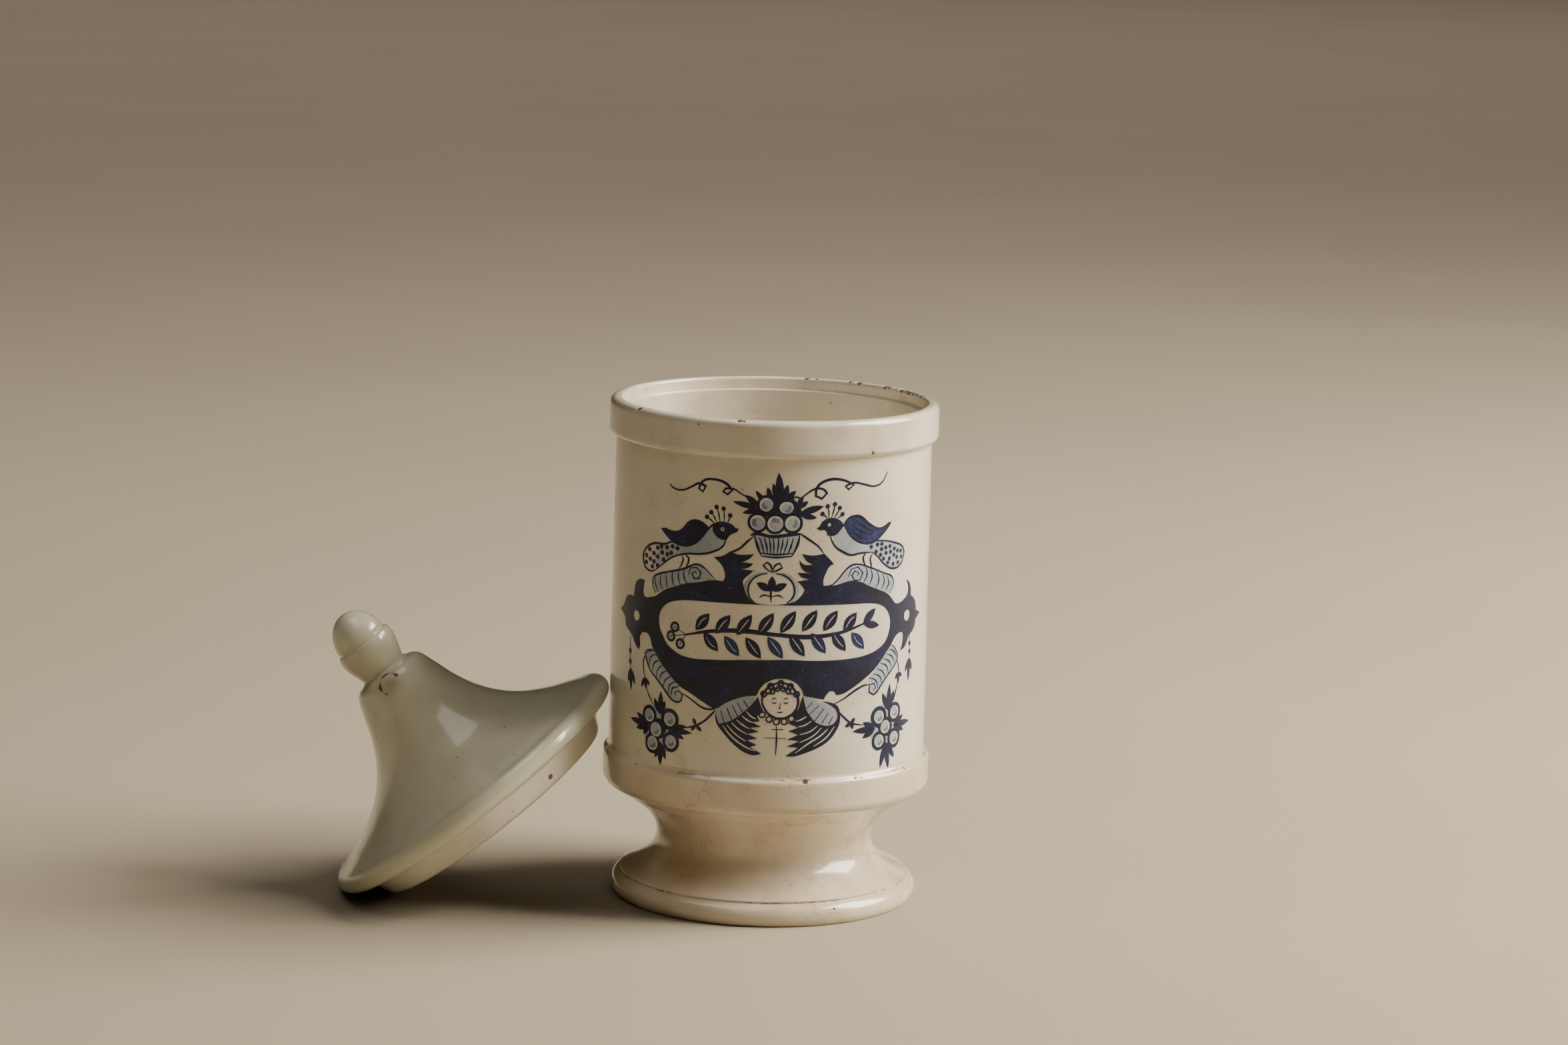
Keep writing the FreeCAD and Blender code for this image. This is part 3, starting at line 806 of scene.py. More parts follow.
stroke("dark", 0.6, (-21.5, 154), (-23, 152.8), (-24.5, 151))
stroke("dark", 0.7, (-17, 148.5), (-17.5, 147), (-18.5, 145.3), (-22.5, 143), (-26, 142), (-34.5, 141),
       (-40, 139), (-43, 137), (-48, 133.3))
stroke("dark", 0.7, (-39.5, 144.8), (-41, 144.7), (-43, 143.8), (-50, 142.9), (-54.5, 140), (-55.6, 137.5),
       (-54.6, 133.5), (-51, 132.3), (-48, 133.2))
for start, tip in (((-21.8, 153.8), (-25, 156)), ((-20.9, 154.2), (-23.3, 157.9)),
                   ((-19.6, 154.4), (-21.2, 160)), ((-18.2, 154.4), (-18.4, 159.6)),
                   ((-16.8, 154.3), (-15.8, 157.2))):
    stroke("dark", 0.45, start, tuple(Vector(start).lerp(Vector(tip), 0.5) + Vector((0.2, 0))), tip)
    dot("dark", tip, 0.95)
for centre in ((-37.4, 142.8), (-39.7, 143.2), (-42.4, 142.5), (-40.3, 140.7), (-42.2, 139.9), (-44.8, 140.2),
               (-44, 137.6), (-47.3, 141.7), (-47.1, 138.3), (-49.3, 139.3), (-51.8, 140.5), (-53.6, 137.9),
               (-51.3, 136.9), (-49.2, 136.2), (-47.1, 135.0), (-50, 134.2), (-53.6, 135.3), (-45.3, 142.4)):
    dot("dark", centre, 1.02, 0.95)
bars("dark", 0.6, [(-35.5, 140.4), (-34.6, 139), (-35.3, 137), (-36.4, 135.2)],
     [(-34, 141), (-32.2, 139.7), (-32.4, 138), (-33.4, 135.9)])

# %% Right bird
shape("wash", [(24.2, 150.6), (27.5, 153), (29.5, 150.8), (32, 148.5), (35, 147), (40, 146.6), (44, 146.8),
               (52, 145.2), (58, 143), (59, 139.4), (55.5, 136.2), (50, 136.6), (45.5, 139.8), (41, 143),
               (36, 143.2), (31, 142.8), (27, 144.4), (24, 147)])
shape("dark", [(17, 153.3), (18.3, 154), (19, 155.4), (21, 156.7), (23.5, 157), (25.5, 156.4), (27.4, 154.9),
               (27.9, 153.7), (26.5, 152.1), (25.2, 150.8), (23, 150.1), (21.3, 150.5), (21, 151.8),
               (19.8, 152.5), (18.4, 152.4)])
ring("cream", (22.0, 154.4), 0.6, 0.25)
shape("blue", [(27.8, 153.9), (28.5, 155.1), (30, 156.5), (32.5, 157.3), (35, 156.9), (37, 155.5),
               (39.5, 153.6), (42, 152.1), (44.5, 151.4), (47, 151.7), (50.4, 153.4), (48.3, 151.9),
               (46.5, 149.9), (44, 148.1), (41.5, 146.9), (38.5, 146.5), (35.5, 146.9), (33, 148.1),
               (31, 149.7), (29.3, 151.6)])
stroke("dark", 0.9, (27.8, 153.9), (30, 156.5), (32.5, 157.2), (35, 156.8), (39.5, 153.5), (44.5, 151.4),
       (50.4, 153.4), (46.5, 149.9), (41.5, 146.9), (38.5, 146.5), (33, 148.1), (29.3, 151.6))
bars("dark", 0.9, [(31, 154.2), (35, 151.5), (40, 149.5)], [(33, 155.4), (37, 152.6), (42, 150.6)],
     [(31.5, 151.6), (35, 149.2), (39, 148)])
stroke("dark", 0.7, (22.5, 150), (24.5, 146.3), (28.5, 143.6), (31, 142.6), (36, 143), (41, 142.9))
stroke("dark", 0.7, (40, 147), (45, 146.9), (53, 145.3), (58, 143.2), (59.3, 141), (57.5, 137), (53, 135.5),
       (48, 137.3), (43, 141.7), (41, 142.9))
for start, tip in (((21.2, 156.8), (19.2, 158.6)), ((21.8, 157), (21.2, 161.4)), ((22.8, 157), (24.1, 162.1)),
                   ((24, 157), (26.1, 160.6)), ((25, 156.6), (27.3, 158.2))):
    stroke("dark", 0.45, start, tuple(Vector(start).lerp(Vector(tip), 0.5) + Vector((0.2, 0))), tip)
    dot("dark", tip, 0.95)
for centre in ((40.5, 145), (43.5, 145.6), (45.8, 145.6), (42.9, 142.9), (45.7, 143.6), (47.9, 144.0),
               (50.2, 144.3), (45.2, 141.5), (46.8, 139.9), (48.1, 141.9), (50.6, 142.1), (52.8, 143.1),
               (50.1, 139.6), (49.2, 138.1), (52.6, 140.7), (54.8, 142.1), (56.8, 141.8), (54.4, 139.7),
               (52.4, 137.3), (57.3, 139.5), (55.2, 137.5)):
    dot("dark", centre, 0.95, 0.95)
bars("dark", 0.6, [(38, 143), (36.9, 141.2), (37.2, 139.5), (38.2, 137.7)],
     [(41.2, 142.3), (40.2, 140.5), (40.6, 138.5), (41.1, 136.5)])

# %% [markdown]
# ### The cartouche
# A dark scrolled frame fills the middle, with one long opening for a label, two eyes in its ears
# and a pair of feathered horns. It is one flat curve with holes in it.

# %% Frame of the cartouche
left_half = [
    (-72.8, 114.3), (-70, 116), (-68.5, 118), (-67, 120), (-64.5, 121), (-61.5, 121), (-61, 123),
    (-60.5, 125.5), (-59, 127.5), (-56.5, 128.4), (-54.3, 128.2), (-55, 125), (-54.8, 123), (-53.5, 122),
    (-51, 122.3), (-48, 123.2), (-43, 126.3), (-38, 128.3), (-33, 130), (-28, 131), (-22, 132.4),
    (-18, 132.3), (-17.3, 133.5), (-17.5, 136), (-18.8, 138.6), (-21.8, 141.1), (-18.5, 141.8),
    (-15, 144), (-14, 143.2), (-8, 143), (-6.2, 143.3), (-8.5, 141), (-11, 140), (-6.5, 139.6), (-8, 138.2),
    (-11, 137.3), (-6.3, 137), (-8, 135.4), (-9.3, 134.3), (-10.2, 133), (-9.8, 130.5), (-8.8, 127.8),
    (-7.3, 126), (-5.8, 125.0)]
right_half = [
    (9, 125.5), (11, 127), (12.5, 128.8), (13, 130), (12, 131.5), (10.1, 133.3), (15, 134), (11.5, 135),
    (10.2, 136.6), (16, 136.2), (13, 137), (11.3, 139), (10.7, 141.3), (12.5, 139.7), (16, 139.5),
    (13.5, 141), (11.7, 143.6), (16, 143), (20.3, 143.6), (22.5, 141.5), (24.3, 139.5), (22.8, 138.9),
    (21.3, 136.5), (20.2, 133.5), (20.3, 131.5), (25, 131.5), (29, 132.4), (32, 132.8), (36, 132),
    (40, 130.2), (45, 128.2), (50, 126), (52.5, 123.8), (54.5, 122), (57, 121.8), (60, 122.8), (62.5, 124.5),
    (63, 127), (62, 129.3), (61.2, 130.2), (63.5, 129), (65, 126.5), (65.2, 123.5), (66.5, 123), (69, 121),
    (70, 118.5), (70.2, 117.2), (74.4, 115.6), (70, 113.5), (69.5, 111.5), (67.5, 109.5), (64.5, 108),
    (63, 106), (61, 104), (58.3, 103.2), (59.5, 105.5), (60, 108), (59.8, 110), (58, 110.3), (55.5, 109.5),
    (52, 106)]
bottom = [
    (50, 104), (46, 100), (43, 97.5), (38, 94.3), (33, 91.5), (29, 89.8), (26.6, 89.6), (25.8, 90.9),
    (23.9, 91.2), (22.6, 89.9), (21.5, 88.2), (13.8, 89.8), (12.6, 92.6), (9.6, 95.4), (4.8, 96.4),
    (0.2, 95.2), (-2.6, 92.6), (-4, 89.7), (-8, 89.3), (-12, 88), (-16, 86), (-19, 84), (-21.4, 84.2),
    (-23, 85), (-26, 86.5), (-30, 88.6), (-35, 90.8), (-40, 94.8), (-44, 98.3), (-47, 101.5), (-49, 104),
    (-50, 106.5), (-51.5, 108.2), (-55, 108.2), (-56.5, 106), (-56.2, 103.5), (-56.8, 101.2), (-59.5, 103),
    (-62, 106), (-65, 107.5), (-67.3, 109), (-68, 111.5), (-69.5, 112.8)]
label_opening = [
    (-45.5, 116), (-45, 111.5), (-43.5, 109), (-41, 105.8), (-38, 103.9), (-33.5, 102.3), (-20, 102.3),
    (-10, 103), (0, 103.4), (8, 103.6), (15, 103.2), (25, 103), (33, 103.2), (40, 104), (45, 105.5),
    (49, 108), (51, 111.5), (51.6, 115), (51, 117.8), (49, 120.5), (46, 122.3), (42, 123.3), (35, 123.8),
    (10, 124.2), (-25, 124), (-33, 123.6), (-38, 122.7), (-42, 121), (-44.5, 118.5)]
shape("dark", left_half + right_half + bottom, label_opening, round_points((-59.1, 113.9), 2.0),
      round_points((62.6, 116.2), 2.1))

# %% [markdown]
# ### What stands in for the lettering
# Such jars are lettered with what they hold. No words are drawn here: a sprig of some common
# herb lies in the label, and a three-leaved sprout in the ring above it.

# %% Herb sprig in the label
stroke("dark", 1.3, (-33, 110.5), (-22, 113), (-10, 114), (3, 113), (16, 112.2), (28, 113.4), (38.5, 116.2))
for k in range(8):
    u = -28.5 + 8.2 * k
    v = 113.0 + 1.1 * math.sin(u / 10.5)
    reach = 8.2 - 0.22 * abs(k - 3.6) ** 1.6
    leaf("dark", (u, v + 0.3), (u + 5.6, v + 0.6 + reach), 4.4)
    leaf("blue" if k % 2 else "dark", (u + 3.4, v - 0.3), (u + 9.4, v - 0.5 - reach), 4.3)
    stroke("cream", 0.35, (u + 0.9, v + 1.6), (u + 3.0, v + 4.6), (u + 4.6, v + reach * 0.85))
    stroke("wash_top", 0.35, (u + 4.4, v - 1.6), (u + 6.6, v - 4.6), (u + 8.3, v - reach * 0.85))
leaf("dark", (37.6, 116.0), (43.4, 121.4), 3.2)
leaf("dark", (37.6, 116.0), (45.6, 114.6), 3.0)
for centre in ((-37.6, 112.9), (-39.4, 109.2), (-35.0, 106.8)):
    stroke("dark", 0.6, (-32.6, 110.6), centre)
    ring("dark", centre, 2.1, 1.1)
    dot("slate", centre, 0.6)

# %% Ring with a sprout
RING_CENTRE = (0.5, 130.0)
left_arm = [(-5.5, 124.8), (-7.6, 127), (-8.2, 130), (-7.2, 133), (-4.4, 135.4), (-1, 136.2)]
right_arm = [(6.3, 125), (8.6, 127.2), (9.2, 130), (8.2, 133), (5.4, 135.4), (2, 136.2)]
for arm in (left_arm, right_arm):
    stroke("wash", 1.6, *[(RING_CENTRE[0] + (u - RING_CENTRE[0]) * 1.1, v) for u, v in arm])
    stroke("dark", 0.6, *arm)
stroke("dark", 0.6, (0.5, 136.6), (-1.2, 137.6), (-2.8, 139.2), (-1.2, 140.4), (0.1, 138.9), (0.6, 136.8))
stroke("dark", 0.6, (0.7, 136.6), (2.2, 137.2), (4.4, 138.4), (3.4, 140.1), (1.7, 139.2), (0.8, 136.9))
stroke("dark", 0.7, (0.6, 125.4), (0.3, 128.2), (0.6, 130.6))
for tip, width in (((0.7, 135.2), 2.9), ((-5.2, 132.6), 2.8), ((6.4, 132.4), 2.8)):
    leaf("dark", (0.6, 129.6), tip, width)
bars("dark", 0.5, [(0.4, 127.4), (-2.4, 127.9), (-4.0, 126.9)], [(0.5, 127.4), (3.4, 127.9), (5.0, 126.9)])

# %% [markdown]
# ### Banded scrolls
# Rolled strips, drawn as an outline, a curl and short bands across, lie on the shoulders of the
# cartouche and hang below its ears.

# %% Upper scrolls
shape("wash", [(-47.7, 124.6), (-49.2, 128.5), (-48.5, 130.4), (-42, 133), (-34, 135.3), (-30.5, 137),
               (-26.5, 137), (-22.5, 133.8), (-22, 132.6), (-28, 131.3), (-38, 128.6)])
stroke("dark", 0.6, (-47.7, 124.3), (-49, 126), (-49.5, 128.5), (-49, 130.3), (-46.5, 131.8), (-42, 133.2),
       (-34, 135.5), (-30.5, 137.2), (-28.8, 137.7), (-26.5, 137.2), (-24.5, 135.9), (-21, 132.7))
stroke("dark", 0.55, (-32.2, 133.4), (-31.4, 136), (-28.9, 136.6), (-26.9, 134.9), (-27.6, 132.5),
       (-29.7, 132.2), (-30.6, 133.9), (-29.4, 135.1), (-28.6, 134.1))
bars("dark", 0.55, [(-48.2, 131), (-48, 128), (-46.3, 124.8)], [(-45.3, 132), (-45.5, 129), (-44, 126)],
     [(-42.7, 132.6), (-42.4, 129.8), (-41.7, 127.2)], [(-39.5, 134), (-39.5, 130.9), (-38.6, 128.3)],
     [(-36.7, 134.5), (-36.6, 131.5), (-35.5, 129)], [(-34.2, 135.3), (-34, 132), (-32.7, 130)])
shape("wash", [(22, 131.4), (25.5, 133), (29.5, 137), (34, 138.6), (40, 137), (48, 133.8), (52.4, 131.2),
               (52.8, 129), (51, 126), (45, 128.4), (36, 132), (32, 132.8)])
stroke("dark", 0.6, (21.5, 131.3), (23.5, 131.6), (25.5, 133), (29.5, 137.2), (31.5, 138.5), (34, 138.9),
       (40, 137.2), (48, 134.1), (51.5, 132.8), (52.7, 131.2), (53, 129.5), (51, 125.9))
stroke("dark", 0.55, (30.4, 134.2), (31.6, 137.2), (34.6, 137.8), (36.8, 135.4), (35.6, 132.8), (33, 132.8),
       (31.9, 134.8), (33.2, 136.4), (35, 135.6), (34.2, 134.3))
bars("dark", 0.55, [(38, 138.2), (38.8, 134.5), (37.3, 131.8)], [(40.5, 137), (41.3, 133.5), (40, 130.5)],
     [(43.6, 135.6), (44.7, 132), (43.4, 129)], [(46.7, 134.2), (47.6, 131), (46, 128.3)],
     [(49.3, 133), (50.3, 130), (48.4, 127.5)])

# %% Lower scrolls
shape("wash", [(-48, 102.8), (-52, 101.7), (-52.6, 100), (-50, 96), (-46, 91.8), (-39.5, 86), (-36, 84.8),
               (-33.8, 86), (-34, 88.5), (-36, 91), (-40, 94.8), (-44, 98.3)])
stroke("dark", 0.6, (-48, 102.8), (-52, 101.7), (-52.8, 100.5), (-52, 98.5), (-49.5, 94.5), (-46, 91.8),
       (-42.5, 88.9), (-39.5, 86), (-37.5, 84.7), (-35.5, 84.4), (-33.8, 85.3), (-33.4, 87.6), (-35.3, 88.8),
       (-36.8, 88), (-36.6, 86.7))
bars("dark", 0.55, [(-47.5, 102.2), (-50, 102), (-52.3, 100.5)], [(-46, 101), (-49, 100), (-50.5, 96.3)],
     [(-44.5, 99.2), (-47.5, 97.5), (-48.3, 94.2)], [(-42, 97.8), (-45, 96), (-46.2, 92)],
     [(-40, 96), (-43.5, 94), (-44.4, 90.3)], [(-38.5, 94), (-41.5, 92), (-42.6, 88.9)],
     [(-36.5, 92.3), (-39.5, 90.5), (-40, 87)], [(-34.8, 90.6), (-38, 89.5), (-38.7, 86.5)])
stroke("dark", 0.6, (-33.5, 88), (-31, 87), (-28, 85.3), (-25.5, 83.9), (-23, 83.3), (-20.5, 83.6),
       (-18.2, 85), (-18.2, 87.8), (-19.8, 88.7), (-21.3, 87.7), (-20.6, 86.2))
shape("wash", [(52.5, 106.3), (55.8, 103.4), (56.4, 100), (53, 96.8), (47, 91), (43.5, 88.3), (41.4, 90.4),
               (41, 94.8), (45, 98.6), (50, 103.6)])
stroke("dark", 0.6, (52.5, 106.3), (54.5, 105), (56, 103), (56.6, 101), (56, 99.5), (50, 94), (47, 91),
       (45.2, 89.2), (43.5, 88.2), (41.3, 89.4), (41.4, 92.2), (43.6, 92.6), (44.6, 90.8), (43.2, 90))
bars("dark", 0.55, [(41, 95), (44.5, 93.5), (45.8, 90.5)], [(43, 96.3), (46.5, 94.8), (47.9, 91.7)],
     [(45, 98), (48, 96.5), (49.8, 93.7)], [(46.8, 99.9), (50, 98.5), (51.3, 95.5)],
     [(48.2, 101.6), (51.5, 100), (53.2, 97.5)], [(50, 103), (53, 101.8), (54.8, 99.3)],
     [(51.5, 104.8), (54.5, 103.3), (56, 101.3)])
stroke("dark", 0.6, (41.4, 92.3), (39, 92.3), (36, 91.3), (33, 89.8), (30, 88), (26, 86.3))

# %% [markdown]
# ### Strings and clusters
# Beaded strings hang from the ears and the scrolls; each ends in a bud of pointed leaves. Below
# them hang two clusters of five ringed berries with leaves round them.

# %% Strings


def bud(neck, *tips, width=1.5):
    """Pointed leaves that fan out from one point."""
    for tip in tips:
        leaf("dark", neck, tip, width)


stroke("dark", 0.55, (-63, 107), (-63.1, 100), (-62.6, 92))
dot("dark", (-63, 99.7), 1.15)
dot("dark", (-62.8, 95.6), 1.15)
bud((-62.4, 93.2), (-64.2, 87.6), (-61.6, 84.6), (-58.9, 87.3), width=2.0)
stroke("dark", 0.55, (65.3, 108.5), (65.4, 99))
dot("dark", (65.3, 105), 0.95)
dot("dark", (65.5, 101.9), 0.95)
bud((65.3, 99.4), (62.2, 94.3), (64.9, 90.3), (67.5, 94.3), width=1.9)
stroke("dark", 0.55, (-52.5, 100), (-53.6, 98), (-53.7, 95.5), (-52.6, 90.5))
bud((-52.8, 91.2), (-54.6, 87.1), (-51.4, 86.6), (-49.6, 88.6))
stroke("dark", 0.55, (-51.6, 87.4), (-49.8, 84.6), (-47.6, 81.6))
stroke("dark", 0.55, (56.3, 100), (57.3, 97.8), (57.6, 94))
bud((57.6, 95), (55.5, 92.6), (57.5, 90.6), (59.9, 93.1))
stroke("dark", 0.55, (57.4, 91.5), (55.8, 87), (54.8, 84.4))
stroke("dark", 0.6, (-32, 75), (-28.5, 76), (-24, 78.5), (-21, 81.5), (-19.5, 83.2))
bud((-27.4, 76.8), (-28.6, 79.2), (-24.9, 74.4), (-29.3, 74.3))
stroke("dark", 0.6, (39, 77), (35.5, 77.7), (33, 78.5), (30.5, 80.5), (28, 83), (27, 84.7))
bud((33.4, 78.4), (30.7, 77), (34.2, 76), (35, 80.2))


# %% Berry clusters
def berry(centre, radius, inner):
    ring("dark", centre, radius + 0.2, inner - 0.15)
    shape("cream", round_points(centre, inner))
    dot("wash_top", (centre[0] - 0.1 * inner, centre[1] + 0.1 * inner), inner * 0.92)
    round_side("slate", centre, inner, (centre[0] + 0.3, centre[1] - 0.5))


def cluster(middle, berries, leaves, halo):
    shape("wash", round_points(middle, halo))
    dot("dark", middle, 3.6, 1.2)
    for base, tips in leaves:
        bud(base, *tips, width=2.5)
    for centre, radius, inner in berries:
        berry(centre, radius, inner)


cluster((-44, 73), [((-45.8, 72.3), 3.7, 2.7), ((-49.4, 77.3), 3.7, 2.5), ((-39, 77.3), 4.0, 2.6),
                    ((-38.3, 68.7), 3.7, 2.5), ((-47.5, 66.8), 3.8, 2.7)],
        [((-43.5, 78.5), [(-43.6, 87.4), (-47, 84.2), (-41.4, 84)]),
         ((-50, 73.2), [(-61.4, 74), (-57.2, 77), (-57.2, 71), (-52.6, 69.3)]),
         ((-40, 73.6), [(-31.2, 75.6), (-28.9, 73.2), (-32.2, 70.6)]),
         ((-43.5, 68), [(-46, 61.3), (-43.2, 58.7), (-40.6, 61.6)])], 9.2)
cluster((50.8, 75), [((50.2, 75), 3.6, 2.5), ((46.7, 79.3), 4.0, 2.5), ((55.5, 80), 3.7, 2.5),
                     ((47, 70), 3.5, 2.4), ((55.5, 70), 3.7, 2.5)],
        [((51.6, 81), [(52.3, 91.4), (48.2, 88.3), (55.2, 88.6)]),
         ((44.8, 75), [(34.1, 75), (38.6, 78), (38.6, 72)]),
         ((55, 74.8), [(66.5, 75), (61.6, 78), (62, 72.1)]),
         ((50.6, 69), [(47.8, 59.4), (52.6, 58.4), (56, 62.4)])], 9.0)

# %% [markdown]
# ### The winged head
# A round head with curls sits between two wings below the cartouche. Its face is a plain, calm
# one of my own: the eyes lie halfway down, and the nose and mouth divide the rest into thirds.

# %% Wings
shape("wash", [(-19.2, 83.5), (-17.5, 85.8), (-14.5, 87.5), (-11, 88.9), (-8, 89.4), (-5, 89.3), (-4.4, 88.4),
               (-6, 86), (-8.5, 83.5), (-11.5, 81), (-15, 79), (-18, 78.2), (-18.8, 80)])
bars("dark", 0.65, [(-8.8, 87.7), (-6.9, 85)], [(-11.1, 86.7), (-9, 83)], [(-13.1, 85.7), (-10.8, 81.3)],
     [(-15.1, 84.6), (-13.1, 79.8)], [(-17.4, 83.2), (-16, 78.4)])
shape("dark", [(-19.6, 83), (-19.4, 79.5), (-18.5, 77.4), (-17, 75.6), (-14, 72.4), (-11, 69.8), (-8, 67.9),
               (-4.5, 67), (-1.6, 67.7), (-6, 70), (-3.5, 70.9), (-7, 72.6), (-3.2, 73.4), (-7, 75),
               (-2.8, 76), (-6.4, 77.4), (-2.1, 77.9), (-5.4, 79.6), (-2.6, 80), (-3.6, 82), (-1.2, 83.6),
               (-2.4, 86.4), (-3.4, 89.4), (-6, 86), (-8.5, 83.5), (-11.5, 81), (-15, 79), (-18, 78.2),
               (-18.8, 80)])
for points in ([(-16.6, 77.6), (-13, 73.6), (-8, 70.2), (-4, 68.6)], [(-15, 78), (-11.5, 74.6), (-7.6, 72.2)],
               [(-13.2, 79), (-10.4, 76.6), (-7, 74.8)], [(-11.4, 80.2), (-9, 78.4), (-6.4, 77)],
               [(-9.4, 81.9), (-7.4, 80.4), (-5, 79.4)], [(-7.7, 83.6), (-5.6, 81.6), (-3.9, 80.9)]):
    stroke("cream", 0.5, *points)
shape("wash", [(13.7, 89.7), (17, 88.5), (21, 86.9), (25, 84.7), (26.8, 82.8), (26.8, 80.5), (25, 78.7),
               (21.5, 78.7), (18.5, 79.9), (16.5, 82), (14.8, 84.5), (14, 87)])
bars("dark", 0.65, [(17.2, 87.4), (15, 85)], [(19.7, 86), (16, 82.6)], [(21.7, 84.6), (18.3, 80.2)],
     [(23.6, 83), (21, 79)], [(25.5, 81.4), (23.8, 78.6)])
shape("dark", [(13.4, 89.8), (14.2, 87), (15, 84.3), (16.6, 81.8), (18.5, 79.7), (21.5, 78.4), (25, 78.4),
               (27, 80.2), (27.1, 83), (25.2, 85.2), (21, 87.6), (26, 86.3), (27.6, 85), (28.4, 82.5),
               (28.4, 79), (27.1, 76), (24, 72.3), (20, 69.9), (15, 68), (10, 66.7), (7.4, 67), (12, 70),
               (7.9, 70.6), (12.4, 72.6), (7.8, 73.2), (12, 75), (8.3, 76.4), (12, 77.8), (7.6, 79.6),
               (11, 80.4), (9.4, 82.4), (11.6, 84.6), (12.6, 87.4)])
for points in ([(26.2, 77.6), (23, 73.6), (18, 70.4)], [(23.5, 76.8), (21, 74.6), (16, 71.6), (11, 68)],
               [(21, 77.4), (18, 74.6), (12.6, 72)], [(19.3, 78.2), (16.8, 76.3), (12.6, 75)],
               [(17, 80.2), (14.4, 78.6), (11.8, 78)], [(15, 82), (13.2, 80.9), (11.2, 80.2)]):
    stroke("cream", 0.5, *points)

# %% Head, curls and collar of beads
HEAD = (4.9, 88.0)
HEAD_RADIUS = 6.8
stroke("dark", 0.7, *round_points(HEAD, HEAD_RADIUS, count=12), closed=True)
for k in range(9):
    a = math.radians(22 + 17 * k)
    r = HEAD_RADIUS * (0.86 if k % 2 else 0.98)
    ring("dark", (HEAD[0] + r * math.cos(a), HEAD[1] + r * math.sin(a)), 1.35, 0.65)
for k in range(4):
    a = math.radians(50 + 27 * k)
    ring("dark", (HEAD[0] + 4.6 * math.cos(a), HEAD[1] + 4.6 * math.sin(a)), 1.15, 0.5)
eye_line, nose_end, mouth_line = HEAD[1] - 0.6, HEAD[1] - 2.9, HEAD[1] - 4.2
for side in (-1, 1):
    eye = HEAD[0] + side * 2.2
    stroke("dark", 0.45, (eye - 0.9, eye_line), (eye, eye_line - 0.45), (eye + 0.9, eye_line))
    stroke("dark", 0.35, (eye - 0.9, eye_line + 1.2), (eye, eye_line + 1.55), (eye + 0.9, eye_line + 1.2))
stroke("dark", 0.35, (HEAD[0] + 0.25, eye_line - 0.2), (HEAD[0] - 0.3, nose_end), (HEAD[0] + 0.4, nose_end))
stroke("dark", 0.45, (HEAD[0] - 1.1, mouth_line), (HEAD[0], mouth_line - 0.25), (HEAD[0] + 1.1, mouth_line))
for centre in ((-1.7, 82.6), (0.9, 80.9), (3.7, 80.0), (6.6, 80.1), (9.3, 81.2), (11.3, 83)):
    ring("dark", centre, 1.4, 0.8)
stroke("dark", 0.55, (3.7, 78.4), (3.9, 73), (3.7, 67.2))
bars("dark", 0.5, [(1.9, 77), (6.3, 77.1)], [(-0.7, 73.8), (7.5, 73.6)])

# %% [markdown]
# ### Wrapping the film round the drum
# Before the paint is bent round, its flat place is kept as a UV map, so that the brush marks of
# the pigment can run with the painting and not through it.

# %% Wrap


def wrap_film(bm, name, lift):
    uv_layer = bm.loops.layers.uv.new("unrolled")
    for face in bm.faces:
        for loop in face.loops:
            loop[uv_layer].uv = loop.vert.co.xy / 100
    for vert in bm.verts:
        u, height, proud = vert.co
        angle = u / UNROLL_RADIUS
        radius = drum_radius(height) + lift + proud
        vert.co = (radius * math.sin(angle), -radius * math.cos(angle), height)
    make_uneven(bm)
    return finish_mesh(bm, name, JAR)


painted = {tone: wrap_film(films[tone], "painting_" + tone, LIFT[tone]) for tone in LIFT}

# %% [markdown]
# ## Cobalt pigment
# Cobalt oxide in water, brushed on before the last firing. Thick strokes fire nearly black with
# a blue edge to them, thin ones turn slate blue, and a wash lets the cream show. Brush hairs
# leave streaks a few tenths of a millimetre wide, and here and there the paint is scuffed.

# %% Pigments


